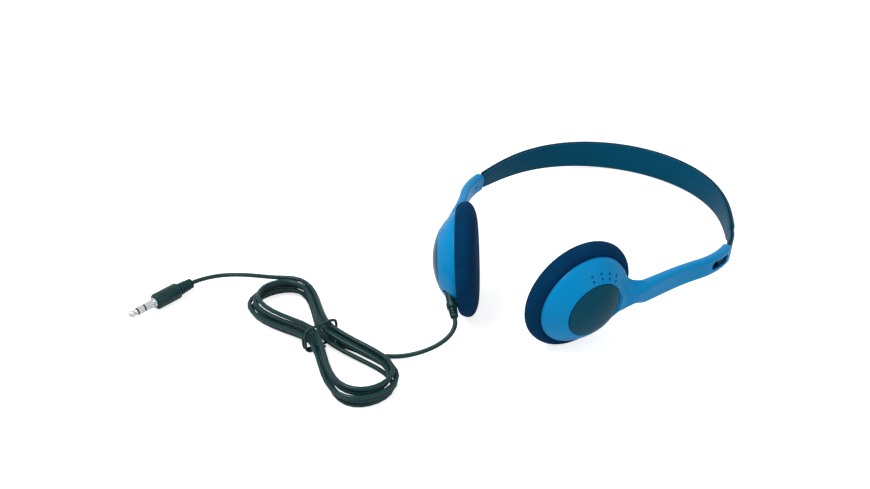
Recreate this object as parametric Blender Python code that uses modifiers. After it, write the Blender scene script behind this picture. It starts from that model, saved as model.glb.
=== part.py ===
"""Wired on-ear headphones: a two-layer headband whose curved tongues slide in the arms of two
ear cups, with foam ear pads, a driver in each cup, and one cable to a stereo plug.

The pair lies on a surface: on the rims of both pads and on the lower edge of the headband's crown.
The left cup is pushed in and the right cup is drawn out. Lengths are in metres, +Z is up, and +Y
points from the cups to the crown.
"""

import math

import bmesh
import bpy
from mathutils import Matrix, Vector

MM = 0.001
GAP = 0.3 * MM  # clearance between neighbouring pieces

# Headband: two layers with a wire between them.
CROWN_RADIUS = 49.1 * MM  # the curvature fades from the crown to straight ends
BAND_END_ANGLE = math.radians(77.0167301)
BAND_HALF_LENGTH = 1.5 * BAND_END_ANGLE * CROWN_RADIUS
BAND_WIDTH = 13.8 * MM
BAND_END_WIDTH = 6.4 * MM
STRAP_THICKNESS = 1.2 * MM
LINER_THICKNESS = 1.0 * MM
LAYER_EDGE = 0.25 * MM  # rounding of the layers' edges

# Slider: the tongues at the band's ends run on an arc in the sleeves of the arms.
SLIDER_RADIUS = 55.0 * MM
TRAVEL = 22.0 * MM
LEFT_EXTENSION = 0.0 * MM
RIGHT_EXTENSION = 18.2 * MM
TONGUE_WIDTH = 4.6 * MM
TONGUE_LAYER = 0.9 * MM
TIP_WIDTH = 5.4 * MM  # the tip is wider than the throat of the sleeve, which stops it
TIP_LENGTH = 3.3 * MM
THROAT_LENGTH = 3.0 * MM
MOUTH_BULGE = 1.5 * MM

# Arm of a cup.
ARM_WIDTH = 7.2 * MM
ARM_THICKNESS = 4.3 * MM
ARM_EDGE = 1.0 * MM
ARM_ARC = math.radians(25.0)
ARM_STRAIGHT = 62.6 * MM
ARM_FILLET = 11.0 * MM
ARM_EDGE_HEIGHT = 1.6 * MM
CUP_OFFSET = 3.9 * MM
CUP_LEAN = math.radians(3.6)
CUP_TOE = math.radians(8.0)
WINDOW_START = 4.0 * MM
WINDOW_LENGTH = 10.0 * MM
WINDOW_WIDTH = 2.4 * MM
MARK_START = 5.5 * MM
MARK_LENGTH = 3.4 * MM
MARK_WIDTH = 1.5 * MM
MARK_DEPTH = 0.35 * MM

# Cup shell. Heights are along the cup's axis from the shell's rim, outwards.
SHELL_RADIUS = 20.8 * MM
SHELL_WALL = 1.5 * MM
SHELL_LIP_HEIGHT = 6.9 * MM
SHELL_FOOT = 1.2 * MM  # height of the straight part at the rim
CAP_RADIUS = 12.4 * MM
CAP_WALL = 1.2 * MM
CAP_EDGE = 0.5 * MM
CAP_RISE = 3.8 * MM
SEAT_DEPTH = 0.6 * MM
FLOOR = 1.2 * MM
VENT_RADIUS = 0.65 * MM
VENT_ROWS = (CAP_RADIUS + 2.0 * MM, CAP_RADIUS + 3.7 * MM)
VENTS_PER_ROW = 4
VENT_ANGLE = math.radians(80.0)
VENT_STEP = math.radians(16.0)
FELT_THICKNESS = 0.5 * MM
FELT_SPAN = math.radians(72.0)

# Ear pad: a foam cushion whose lip hooks behind the baffle's flange.
PAD_REACH = 4.2 * MM  # beyond the shell
PAD_RADIUS = SHELL_RADIUS + PAD_REACH
PAD_HEIGHT = 8.6 * MM
PAD_WIDEST = 4.2 * MM
PAD_CROWN = 0.25 * MM
PAD_FLAT = 8.0 * MM
PAD_SHOULDER = 8.5 * MM
PAD_LIP = 0.6 * MM
PAD_SEGMENTS = 36
STAND_CUT = 0.5 * MM

# Baffle and driver.
FLANGE_REACH = 1.6 * MM
FLANGE_THICKNESS = 1.4 * MM
BAFFLE_STEP = 0.5 * MM
WALL_HEIGHT = 1.2 * MM
WALL_THICKNESS = 0.8 * MM
RING_THICKNESS = 1.0 * MM
GRILLE_HOLE = 1.0 * MM
GRILLE_PITCH = 4.0 * MM
GRILLE_PER_RING = 6
BOARD_BAY = 3.4 * MM  # between the driver's ring and the baffle's wall
DRIVER_RADIUS = SHELL_RADIUS - SHELL_WALL - WALL_THICKNESS - BOARD_BAY - RING_THICKNESS - 2 * GAP
DRIVER_RIM = 2.3 * MM
DRIVER_WALL = 0.6 * MM
BASKET_WALL = 0.9 * MM
YOKE_RADIUS = 5.6 * MM
YOKE_HEIGHT = 2.1 * MM
YOKE_WALL = 1.1 * MM
YOKE_BACK = 0.7 * MM
POLE_THICKNESS = 0.6 * MM
COIL_WALL = 0.3 * MM
FILM = 0.3 * MM
BOARD_SIZE = (BOARD_BAY - 1.2 * MM, 5.5 * MM, 0.8 * MM)
BOARD_ANGLE = math.radians(-100.0)
WIRE_RADIUS = 0.3 * MM

# Cable, strain relief and plug.
CABLE_RADIUS = 1.0 * MM
GLAND_ANGLE = math.radians(-150.0)
GLAND_TILT = math.radians(12.0)
GLAND_HEIGHT = 2.7 * MM
GLAND_RADIUS = 1.9 * MM
GLAND_NECK = 1.4 * MM
GLAND_INSIDE = 4.4 * MM
GLAND_COLLAR = 2.8 * MM
GLAND_LENGTH = 8.6 * MM
PLUG_PLACE = Vector((-157.3, -197.8, 0.0)) * MM  # where the plug's body begins
PLUG_DIRECTION = Vector((-0.33, -0.944, 0.0))
PLUG_RADIUS = 3.7 * MM
PLUG_LENGTH = 13.0 * MM
PLUG_EDGE = 0.7 * MM
BOOT_LENGTH = 7.6 * MM
BOOT_RIBS = 4
BOOT_RADII = (2.7 * MM, 1.7 * MM)
RIB_DEPTH = 0.4 * MM
CONTACT_RADIUS = 1.75 * MM  # a 3.5 mm plug
CONTACT_LENGTH = 14.0 * MM
SLEEVE_LENGTH = 5.2 * MM
RING_LENGTH = 2.3 * MM
INSULATOR_WIDTH = 0.9 * MM
INSULATOR_RADIUS = 1.55 * MM

# Hank: one tube that spirals in and out in four layers, drawn in at the waist by its tie.
HANK_CENTRE = Vector((-82.0, -204.5, 0.0)) * MM
HANK_ANGLE = math.radians(147.5)
HANK_HALF_LENGTH = 46.0 * MM
HANK_HALF_WIDTH = 11.6 * MM
HANK_START = 0.30  # in turns; the far tip is at a quarter turn
HANK_REVERSALS = (1.5, 3.0, 4.5)
HANK_END = 5.5
HANK_CLIMB = 0.5  # turns that the climb to the next layer takes
HANK_GAP = 0.5 * MM
HANK_WAIST_SPREAD = 1.12  # the waist's step is wider, because the runs slant there
HANK_FAN = 0.5 * MM
HANK_POINTS_PER_TURN = 24
TIE_RADIUS = 0.6 * MM
TIE_TURNS = 1.3
TIE_PITCH = 2.0 * MM
TIE_CORNER = 5.0  # the loop is a rounded rectangle: a superellipse of this order
TIE_POINTS = 28

# Materials: colour, roughness and metallic.
MOULDED_BLUE = ("moulded_blue", (0.0, 0.25, 0.60), 0.35, 0.0)
BAND_TEAL = ("band_teal", (0.0, 0.08, 0.14), 0.4, 0.0)
CAP_GLOSS = ("cap_gloss", (0.0, 0.07, 0.12), 0.12, 0.0)
FOAM_NAVY = ("foam_navy", (0.0, 0.03, 0.10), 0.95, 0.0)
FELT_BLACK = ("felt_black", (0.02, 0.02, 0.02), 1.0, 0.0)
BLACK_PLASTIC = ("black_plastic", (0.03, 0.03, 0.03), 0.5, 0.0)
STEEL = ("steel", (0.6, 0.6, 0.6), 0.3, 1.0)
MAGNET_GREY = ("magnet_grey", (0.25, 0.25, 0.27), 0.4, 1.0)
FILM_CLEAR = ("film", (0.75, 0.72, 0.6), 0.3, 0.0)
COPPER = ("copper", (0.7, 0.33, 0.15), 0.35, 1.0)
BOARD_GREEN = ("board", (0.02, 0.2, 0.08), 0.5, 0.0)
CABLE_GREEN = ("cable_green", (0.0, 0.03, 0.04), 0.45, 0.0)
CHROME = ("chrome", (0.8, 0.8, 0.8), 0.12, 1.0)

ROUND = 28  # steps of the larger turned pieces
SMALL_ROUND = 16
DRIVER_ROUND = 20
BAND_STEPS = 12  # stations along each half of the band
TONGUE_STEPS = 5


def collection(name):
    made = bpy.data.collections.new(name)
    bpy.context.scene.collection.children.link(made)
    return made


for old in list(bpy.data.objects):
    bpy.data.objects.remove(old, do_unlink=True)
PARTS = collection("headphones")
CUTTERS = collection("cutters")


def material(finish):
    name, colour, roughness, metallic = finish
    made = bpy.data.materials.get(name)
    if made is None:
        made = bpy.data.materials.new(name)
        made.use_nodes = True
        shader = made.node_tree.nodes["Principled BSDF"]
        shader.inputs["Base Color"].default_value = (*colour, 1.0)
        shader.inputs["Roughness"].default_value = roughness
        shader.inputs["Metallic"].default_value = metallic
        made.diffuse_color = (*colour, 1.0)
    return made


def empty(name, matrix, parent=None):
    made = bpy.data.objects.new(name, None)
    PARTS.objects.link(made)
    made.empty_display_size = 5 * MM
    made.parent = parent
    made.matrix_local = matrix
    return made


def add_object(name, data, finish, parent):
    """Link a new object: a part when it has a finish, a cutter when it has none."""
    made = bpy.data.objects.new(name, data)
    made.parent = parent
    if finish:
        PARTS.objects.link(made)
        data.materials.append(material(finish))
    else:
        CUTTERS.objects.link(made)
        made.hide_render = True
        made.display_type = "WIRE"
    return made


def mesh_from(name, build):
    mesh = bpy.data.meshes.new(name)
    work = bmesh.new()
    build(work)
    bmesh.ops.recalc_face_normals(work, faces=work.faces)
    work.to_mesh(mesh)
    work.free()
    return mesh


def turned(name, profile, finish, parent, steps=ROUND, angle=math.tau):
    """Revolve a profile of (radius, height) points about Z; a closed turn closes its profile."""
    full = angle == math.tau
    points = list(profile)
    if full:
        area = sum(a[0] * b[1] - b[0] * a[1] for a, b in zip(points, points[1:] + points[:1]))
        if area > 0:
            points.reverse()
        on_axis = [i for i, p in enumerate(points) if p[0] == 0.0]
        if on_axis and (points[0][0], points[-1][0]) != (0.0, 0.0):
            turn = on_axis[-1] if on_axis != [0, len(points) - 1] else 0
            points = points[turn:] + points[:turn]
    mesh = bpy.data.meshes.new(name)
    edges = [(i, i + 1) for i in range(len(points) - 1)]
    if full and points[0][0] > 0.0:
        edges.append((len(points) - 1, 0))
    mesh.from_pydata([(r, 0.0, h) for r, h in points], edges, [])
    made = add_object(name, mesh, finish, parent)
    screw = made.modifiers.new("turn", "SCREW")
    screw.axis = "Z"
    screw.angle = angle
    screw.steps = screw.render_steps = steps
    screw.use_merge_vertices = full
    screw.merge_threshold = 0.00001
    screw.use_smooth_shade = True
    return made


def loft(name, sections, finish, parent, flat_ends=True):
    """Skin unlike closed sections; a curved end is closed by strips between its mirrored sides."""

    def build(work):
        rings = [[work.verts.new(p) for p in section] for section in sections]
        count = len(rings[0])
        for a, b in zip(rings, rings[1:]):
            for i in range(count):
                j = (i + 1) % count
                work.faces.new((a[i], a[j], b[j], b[i]))
        for ring in (rings[0], rings[-1]):
            if flat_ends:
                work.faces.new(ring)
                continue
            for i in range(count // 2 - 1):
                work.faces.new((ring[i], ring[i + 1], ring[count - 2 - i], ring[count - 1 - i]))

    mesh = mesh_from(name, build)
    mesh.shade_smooth()
    mesh.set_sharp_from_angle(angle=math.radians(35))
    return add_object(name, mesh, finish, parent)


def cut(target, cutter, operation="DIFFERENCE"):
    boolean = target.modifiers.new(cutter.name, "BOOLEAN")
    boolean.operation = operation
    boolean.object = cutter
    boolean.solver = "EXACT"


def cylinders(name, places, radius, low, high, parent, sides=12):
    """Parallel cylinders in one cutter."""

    def build(work):
        for x, y in places:
            bmesh.ops.create_cone(
                work, cap_ends=True, segments=sides, radius1=radius, radius2=radius,
                depth=high - low, matrix=Matrix.Translation((x, y, (low + high) / 2)),
            )

    return add_object(name, mesh_from(name, build), None, parent)


def block(name, size, matrix, finish, parent):
    def build(work):
        bmesh.ops.create_cube(work, size=1.0, matrix=matrix @ Matrix.Diagonal((*size, 1.0)))

    return add_object(name, mesh_from(name, build), finish, parent)


def tube(name, points, radius, finish, parent, resolution=2):
    curve = bpy.data.curves.new(name, "CURVE")
    curve.dimensions = "3D"
    spline = curve.splines.new("POLY")
    spline.points.add(len(points) - 1)
    for spot, point in zip(spline.points, points):
        spot.co = (*point, 1.0)
    curve.bevel_depth = radius
    curve.bevel_resolution = resolution
    curve.use_fill_caps = True
    return add_object(name, curve, finish, parent)


def smooth_route(points, spacing):
    """Points at an even spacing on a Catmull-Rom curve through the route's own points."""
    ends = [2 * points[0] - points[1]] + list(points) + [2 * points[-1] - points[-2]]
    fine = []
    for a, b, c, d in zip(ends, ends[1:], ends[2:], ends[3:]):
        for step in range(20):
            t = step / 20
            fine.append(0.5 * (2 * b + (c - a) * t + (2 * a - 5 * b + 4 * c - d) * t * t
                               + (3 * b - a - 3 * c + d) * t ** 3))
    fine.append(points[-1])
    total = sum((b - a).length for a, b in zip(fine, fine[1:]))
    count = max(2, round(total / spacing))
    route, walked, target = [fine[0]], 0.0, total / count
    for a, b in zip(fine, fine[1:]):
        length = (b - a).length
        while walked + length >= target and len(route) < count:
            route.append(a.lerp(b, (target - walked) / length))
            target += total / count
        walked += length
    return route + [fine[-1]]


# Headband path, in the headband's own frame: origin at the middle of the crown, X to the right,
# Y up towards the crown, Z across the band's width.

MOUTH_OFFSET = MOUTH_BULGE + GAP
TONGUE_LENGTH = MOUTH_OFFSET + TRAVEL + THROAT_LENGTH + GAP + TIP_LENGTH
LAYER_GAP = GAP


def heading(s):
    """Angle of the path at the distance s from the crown, on the band itself."""
    return (s - s ** 3 / (3 * BAND_HALF_LENGTH ** 2)) / CROWN_RADIUS


def band_spot(s, steps=40):
    """Point of the band at s, by the midpoint rule."""
    x = y = 0.0
    for i in range(steps):
        angle = heading(s * (i + 0.5) / steps)
        x += math.cos(angle) * s / steps
        y -= math.sin(angle) * s / steps
    return Vector((x, y, 0.0))


BAND_END = band_spot(BAND_HALF_LENGTH)


def along(angle, hand):
    """Tangent, away from the crown, and outward normal at a heading on one side."""
    tangent = Vector((hand * math.cos(angle), -math.sin(angle), 0.0))
    normal = Vector((hand * math.sin(angle), math.cos(angle), 0.0))
    return tangent, normal


def slider_centre(hand):
    end = Vector((hand * BAND_END.x, BAND_END.y, 0.0))
    return end - SLIDER_RADIUS * along(BAND_END_ANGLE, hand)[1]


def path(s):
    """Point and outward normal at the signed distance s from the crown, on band and tongues."""
    hand = 1 if s >= 0 else -1
    distance = abs(s)
    if distance <= BAND_HALF_LENGTH:
        spot = band_spot(distance)
        return Vector((hand * spot.x, spot.y, 0.0)), along(heading(distance), hand)[1]
    angle = BAND_END_ANGLE + (distance - BAND_HALF_LENGTH) / SLIDER_RADIUS
    normal = along(angle, hand)[1]
    return slider_centre(hand) + SLIDER_RADIUS * normal, normal


def band_stations():
    """Distances along one half, with the width and whether the section is the tongue's."""
    stations = []
    for i in range(BAND_STEPS + 1):
        s = BAND_HALF_LENGTH * i / BAND_STEPS
        width = BAND_WIDTH - (BAND_WIDTH - BAND_END_WIDTH) * (s / BAND_HALF_LENGTH) ** 2
        stations.append((s, width, False))
    shoulder = BAND_HALF_LENGTH + TONGUE_LENGTH - TIP_LENGTH
    for i in range(TONGUE_STEPS + 1):
        s = BAND_HALF_LENGTH + GAP + (shoulder - BAND_HALF_LENGTH - GAP) * i / TONGUE_STEPS
        stations.append((s, TONGUE_WIDTH, True))
    stations.append((shoulder + GAP, TIP_WIDTH, True))
    stations.append((shoulder + TIP_LENGTH, TIP_WIDTH, True))
    return stations


def layer_section(width, thickness, way):
    """Section of one layer as (across, out) points, with half of the wire's channel in it."""
    half, near, far = width / 2, LAYER_GAP / 2, LAYER_GAP / 2 + thickness
    channel = WIRE_RADIUS + GAP
    side = [(half, near), (half, far - LAYER_EDGE), (half - LAYER_EDGE, far)]
    floor = [(channel, channel), (channel, near)]
    points = side + [(-a, b) for a, b in reversed(side)] + [(-a, b) for a, b in reversed(floor)] + floor
    return [(a, way * b) for a, b in points]


def layer(name, thickness, way, frame):
    """One layer of the headband, from tongue tip to tongue tip; way is 1 on the outer side."""
    stations = band_stations()
    sections = []
    for s, width, tongue in [(-s, *rest) for s, *rest in reversed(stations[1:])] + stations:
        spot, normal = path(s)
        outline = layer_section(width, TONGUE_LAYER if tongue else thickness, way)
        sections.append([spot + normal * out + Vector((0, 0, across)) for across, out in outline])
    return loft(name, sections, BAND_TEAL, frame)


def resting_frame():
    """Headband frame to world frame, before centring: Z is square to the surface it rests on."""
    foot = Vector((0.0, LAYER_GAP / 2 + STRAP_THICKNESS, -BAND_WIDTH / 2))
    up = Vector((0.0, 0.0, 1.0))
    for _ in range(8):
        spots = [foot]
        for hand in (-1, 1):
            centre, axis = cup_axis(hand)
            down = (axis * axis.dot(up) - up).normalized()
            spots.append(centre - axis * PAD_WIDEST + down * PAD_RADIUS + up * STAND_CUT)
        up = (spots[1] - spots[0]).cross(spots[2] - spots[0]).normalized()
        up = up if up.z > 0 else -up
    ahead = (Vector((0.0, 1.0, 0.0)) - up * up.y).normalized()
    side = ahead.cross(up)
    turn = Matrix((side, ahead, up)).to_4x4()
    return Matrix.Translation((0.0, 0.0, -foot.dot(up))) @ turn


def extension(hand):
    return RIGHT_EXTENSION if hand > 0 else LEFT_EXTENSION


def pushed_in_frames(hand):
    """The arm's frame at zero extension, about the slider's centre.

    X runs from the cup's centre towards the arm, Z is the cup's axis before the toe, outwards.
    """
    start = BAND_END_ANGLE + MOUTH_OFFSET / SLIDER_RADIUS
    tangent, normal = along(start + ARM_ARC, hand)
    centre = (SLIDER_RADIUS - CUP_OFFSET) * normal + ARM_STRAIGHT * tangent
    tangent, normal = along(start + ARM_ARC + CUP_LEAN, hand)
    x, z = -tangent, normal
    y = z.cross(x)
    turn = Matrix((x, y, z)).transposed().to_4x4()
    return Matrix.Translation(centre) @ turn


def hinge_turn(hand):
    return Matrix.Rotation(-hand * extension(hand) / SLIDER_RADIUS, 4, "Z")


def arm_matrix(hand):
    return Matrix.Translation(slider_centre(hand)) @ hinge_turn(hand) @ pushed_in_frames(hand)


def toe(hand):
    return Matrix.Rotation(hand * CUP_TOE, 4, "X")


def cup_axis(hand):
    matrix = arm_matrix(hand) @ toe(hand)
    return matrix.translation, matrix.to_3x3() @ Vector((0.0, 0.0, 1.0))


# Headband.

def build_headband(frame):
    layer("band_outer_strap", STRAP_THICKNESS, 1, frame)
    layer("band_inner_liner", LINER_THICKNESS, -1, frame)
    stations = [s for s, _, _ in band_stations()]
    spots = [path(s)[0] for s in [-s for s in reversed(stations[1:])] + stations]
    tube("crossover_wire", spots, WIRE_RADIUS, COPPER, frame, resolution=1)


# Arm and cup shell.

def arm_line(distance):
    """Centre, outward normal and inward tangent of the arm, in the arm's frame.

    The distance runs from the sleeve's mouth towards the cup.
    """
    lean = Vector((math.sin(CUP_LEAN), 0.0, math.cos(CUP_LEAN)))
    back = Vector((math.cos(CUP_LEAN), 0.0, -math.sin(CUP_LEAN)))
    bend = CUP_OFFSET * lean + ARM_STRAIGHT * back
    arc_length = SLIDER_RADIUS * ARM_ARC
    if distance > arc_length:
        return bend - (distance - arc_length) * back, lean, -back
    return sleeve_line(distance)


def sleeve_line(distance):
    """The slider's arc in the arm's frame, which goes on past the arm's own arc."""
    lean = Vector((math.sin(CUP_LEAN), 0.0, math.cos(CUP_LEAN)))
    back = Vector((math.cos(CUP_LEAN), 0.0, -math.sin(CUP_LEAN)))
    centre = (CUP_OFFSET - SLIDER_RADIUS) * lean + ARM_STRAIGHT * back
    angle = CUP_LEAN + ARM_ARC - distance / SLIDER_RADIUS
    normal = Vector((math.sin(angle), 0.0, math.cos(angle)))
    return centre + SLIDER_RADIUS * normal, normal, Vector((-math.cos(angle), 0.0, math.sin(angle)))


def arc_prism(name, spans, hand, parent):
    """Cutter along the slider's arc: each span is distance, width, low and high offset."""
    sections = []
    for distance, width, low, high in spans:
        spot, normal, _ = sleeve_line(distance)
        sections.append([spot + normal * out + Vector((0.0, hand * across, 0.0))
                         for across, out in ((-width / 2, high), (width / 2, high),
                                             (width / 2, low), (-width / 2, low))])
    return loft(name, sections, None, parent)


def even(start, end, count):
    return [start + (end - start) * i / count for i in range(count + 1)]


def smooth_step(value):
    value = min(max(value, 0.0), 1.0)
    return value * value * (3 - 2 * value)


def arm_section(distance, hand, bulge):
    """One section of the arm, in the arm's frame."""
    spot, normal, tangent = arm_line(distance)
    half, reach = ARM_WIDTH / 2, ARM_THICKNESS / 2
    near = math.sqrt((SHELL_RADIUS + ARM_FILLET) ** 2 - (half + ARM_FILLET) ** 2)
    touch = near * SHELL_RADIUS / (SHELL_RADIUS + ARM_FILLET)
    flare = min(max(near - spot.x, 0.0), near - touch)
    wide = half + ARM_FILLET - math.sqrt(ARM_FILLET ** 2 - flare ** 2)
    share = smooth_step(flare / (near - touch))
    drop = share * (spot.z + reach - ARM_EDGE_HEIGHT)
    twist = Matrix.Rotation(hand * CUP_TOE * smooth_step((ARM_STRAIGHT - spot.x) / (ARM_STRAIGHT - near)), 3, "X")
    edge = ARM_EDGE * (1 - 0.5 * share)
    shares = (-1.0, -1.0, -0.8, 0.0, 0.8, 1.0, 1.0)
    top, bottom = [], []
    for i, part in enumerate(shares):
        across = part * wide
        fall = drop * smooth_step((abs(part) - 0.25) / 0.75)
        corner = i in (0, len(shares) - 1)
        inset = edge * 0.3 if i in (1, len(shares) - 2) else 0.0
        side = across - math.copysign(inset, part) if part else 0.0
        low_side = edge if corner else (edge * 0.3 if inset else 0.0)
        high = reach - fall - low_side * (1 - 0.6 * share)
        ahead = -bulge * (1 - (side / wide) ** 2)
        for store, out in ((top, high), (bottom, -reach + low_side)):
            point = spot + normal * out + Vector((0.0, hand * side, 0.0)) + tangent * ahead
            store.append(twist @ point)
    return top + bottom[::-1]


def shell_outside():
    """The shell's outer side from the cap's recess down to the rim, as (radius, height)."""
    lip = CAP_RADIUS + GAP
    slope = (SHELL_RADIUS - lip) / 8.1
    return [(lip + 0.6 * slope, SHELL_LIP_HEIGHT), (lip + 1.9 * slope, SHELL_LIP_HEIGHT - 0.9 * MM),
            (lip + 3.8 * slope, SHELL_LIP_HEIGHT - 2.3 * MM), (lip + 5.9 * slope, SHELL_LIP_HEIGHT - 4.0 * MM),
            (lip + 7.5 * slope, SHELL_LIP_HEIGHT - 5.5 * MM), (SHELL_RADIUS, SHELL_LIP_HEIGHT - 6.2 * MM),
            (SHELL_RADIUS, 0.0)]


def under_slope(depth):
    """The upper and the lower end of the shell's slope, set in by a depth."""
    outside = shell_outside()
    high, low = Vector(outside[1]), Vector(outside[3])
    across = (low - high).normalized()
    inward = Vector((across.y, -across.x)) * depth
    return high + inward, low + inward


def build_arm(side, hand, arm_frame, cup_frame):
    """The arm with its sleeve, trimmed inside the shell's wall."""
    arc_length = SLIDER_RADIUS * ARM_ARC
    inner_end = arc_length + ARM_STRAIGHT - CAP_RADIUS - 0.6 * MM
    near = inner_end - 17 * MM
    stations = even(0.6 * MM, arc_length, 5) + even(arc_length, near, 3)[1:] + even(near, inner_end, 7)[1:]
    sections = [arm_section(0.0, hand, MOUTH_BULGE * 0.9)]
    sections += [arm_section(s, hand, MOUTH_BULGE * max(0.0, 1 - i / 2)) for i, s in enumerate(stations)]
    arm = loft(side + "_arm", sections, None, arm_frame, flat_ends=False)
    high, low = under_slope(SHELL_WALL / 2)
    reach = SHELL_RADIUS - SHELL_WALL / 2
    trim = turned(side + "_arm_trim", [
        (0.0, high.y), tuple(high), tuple(low), (reach, SHELL_FOOT), (reach, -3 * MM), (0.0, -3 * MM)],
        None, cup_frame)
    cut(arm, trim)
    depth = TONGUE_LENGTH - MOUTH_OFFSET + 2 * GAP
    thick = TONGUE_LAYER + LAYER_GAP / 2 + GAP
    throat = TONGUE_WIDTH + 2 * GAP
    wide = TIP_WIDTH + 2 * GAP
    spans = [(s, throat, -thick, thick) for s in even(-4 * MM, THROAT_LENGTH, 3)]
    spans += [(s, wide, -thick, thick) for s in even(THROAT_LENGTH + 0.1 * MM, depth, 5)]
    cut(arm, arc_prism(side + "_sleeve", spans, hand, arm_frame))
    spans = [(s, WINDOW_WIDTH, 0.0, ARM_THICKNESS)
             for s in even(WINDOW_START, WINDOW_START + WINDOW_LENGTH, 3)]
    cut(arm, arc_prism(side + "_window", spans, hand, arm_frame))
    spans = [(s, MARK_WIDTH, -ARM_THICKNESS, -ARM_THICKNESS / 2 + MARK_DEPTH)
             for s in even(MARK_START, MARK_START + MARK_LENGTH, 1)]
    cut(arm, arc_prism(side + "_mark", spans, hand, arm_frame))
    return arm


def build_shell(side, hand, arm_frame, cup_frame):
    seat = SHELL_LIP_HEIGHT - SEAT_DEPTH
    floor = seat - FLOOR
    high, low = under_slope(SHELL_WALL)
    inner = SHELL_RADIUS - SHELL_WALL
    profile = [(0.0, seat), (CAP_RADIUS + GAP, seat), (CAP_RADIUS + GAP, SHELL_LIP_HEIGHT)] + shell_outside()
    profile += [(inner, 0.0), (inner, SHELL_FOOT), tuple(low), (high.x, min(high.y, floor - GAP)),
                (high.x - SHELL_WALL, floor), (0.0, floor)]
    shell = turned(side + "_arm_shell", profile, MOULDED_BLUE, cup_frame)
    cut(shell, build_arm(side, hand, arm_frame, cup_frame), "UNION")
    places = []
    for radius in VENT_ROWS:
        for i in range(VENTS_PER_ROW):
            angle = hand * (VENT_ANGLE + (i - (VENTS_PER_ROW - 1) / 2) * VENT_STEP)
            places.append((radius * math.cos(angle), radius * math.sin(angle)))
    cut(shell, cylinders(side + "_vents", places, VENT_RADIUS, GAP, SHELL_LIP_HEIGHT + 2 * MM, cup_frame, sides=8))
    felt_line = [high.lerp(low, 0.05), high.lerp(low, 0.92)]
    across = (low - high).normalized()
    inward = Vector((across.y, -across.x)) * (GAP + FELT_THICKNESS / 2)
    felt = turned(side + "_vent_felt", [tuple(p + inward) for p in felt_line], FELT_BLACK, cup_frame,
                  steps=8, angle=FELT_SPAN)
    felt.rotation_euler.z = hand * VENT_ANGLE - FELT_SPAN / 2
    solid = felt.modifiers.new("thickness", "SOLIDIFY")
    solid.thickness = FELT_THICKNESS
    solid.offset = 0.0
    return shell


def build_cap(side, cup_frame):
    base = SHELL_LIP_HEIGHT - SEAT_DEPTH + GAP
    rim = base + CAP_EDGE
    ball = (CAP_RADIUS ** 2 + CAP_RISE ** 2) / (2 * CAP_RISE)

    def dome(radius, rise, count):
        half = math.asin(radius / ball)
        top = rim + rise
        return [(ball * math.sin(half * i / count), top - ball * (1 - math.cos(half * i / count)))
                for i in range(count + 1)]

    outer = dome(CAP_RADIUS, CAP_RISE, 5)
    outer[0] = (0.0, outer[0][1])
    inner = [(r, h - CAP_WALL) for r, h in dome(CAP_RADIUS - CAP_WALL, CAP_RISE, 3)]
    inner[0] = (0.0, inner[0][1])
    profile = outer + [(CAP_RADIUS, base), (CAP_RADIUS - CAP_WALL, base)]
    profile += [p for p in reversed(inner) if p[1] > base + 0.05 * MM]
    turned(side + "_cap_dome", profile, CAP_GLOSS, cup_frame)


# Baffle, pad and driver.

def flange_radius():
    return SHELL_RADIUS + FLANGE_REACH


def baffle_faces():
    """Heights of the flange's back and front."""
    back = -GAP - BAFFLE_STEP
    return back, back - FLANGE_THICKNESS


def build_baffle(side, hand, cup_frame, gland_frame):
    back, front = baffle_faces()
    top = -GAP
    wall = SHELL_RADIUS - SHELL_WALL - GAP
    ring = DRIVER_RADIUS + GAP
    profile = [
        (0.0, top), (ring, top), (ring, top + WALL_HEIGHT), (ring + RING_THICKNESS, top + WALL_HEIGHT),
        (ring + RING_THICKNESS, top), (wall - WALL_THICKNESS, top), (wall - WALL_THICKNESS, top + WALL_HEIGHT),
        (wall, top + WALL_HEIGHT), (wall, top), (SHELL_RADIUS, top), (SHELL_RADIUS, back),
        (flange_radius(), back), (flange_radius(), front), (0.0, front)]
    baffle = turned(side + "_baffle", profile, BLACK_PLASTIC, cup_frame)
    places = [(0.0, 0.0)]
    for ring_number in (1, 2):
        for i in range(GRILLE_PER_RING):
            angle = math.tau * ((i + ring_number / 2) / GRILLE_PER_RING + 0.25 / ROUND)
            radius = GRILLE_PITCH * ring_number
            places.append((radius * math.cos(angle), radius * math.sin(angle)))
    if gland_frame:
        notch = cylinders("gland_notch", [(0.0, 0.0)], GLAND_RADIUS + GAP, -GLAND_INSIDE - GAP,
                          GLAND_LENGTH, gland_frame, sides=SMALL_ROUND)
        cut(baffle, notch)
    cut(baffle, cylinders(side + "_grille", places, GRILLE_HOLE, front - MM, top + MM, cup_frame, sides=8))


def pad_profile():
    back, front = baffle_faces()
    lip_top = back + GAP + PAD_LIP
    inner = SHELL_RADIUS + GAP
    pocket = flange_radius() + GAP
    lip_outer = inner + 0.7 * MM
    points = [(0.0, front - GAP), (pocket, front - GAP), (pocket, back + GAP), (inner, back + GAP),
              (inner, lip_top)]
    rise, draw = PAD_WIDEST + lip_top, PAD_RADIUS - lip_outer
    for i in range(4):
        angle = math.pi / 2 * (1 - i / 4)
        points.append((lip_outer + draw * math.cos(angle), -PAD_WIDEST + rise * math.sin(angle)))
    drop = PAD_HEIGHT - PAD_WIDEST
    for i in range(7):
        angle = math.pi / 2 * i / 6
        points.append((PAD_RADIUS - PAD_SHOULDER + PAD_SHOULDER * math.cos(angle),
                       -PAD_WIDEST - drop * math.sin(angle)))
    points += [((PAD_RADIUS - PAD_SHOULDER + PAD_FLAT) / 2, -PAD_HEIGHT - PAD_CROWN * 0.75),
               (PAD_FLAT, -PAD_HEIGHT - PAD_CROWN), (0.0, -PAD_HEIGHT - PAD_CROWN)]
    return points


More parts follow.
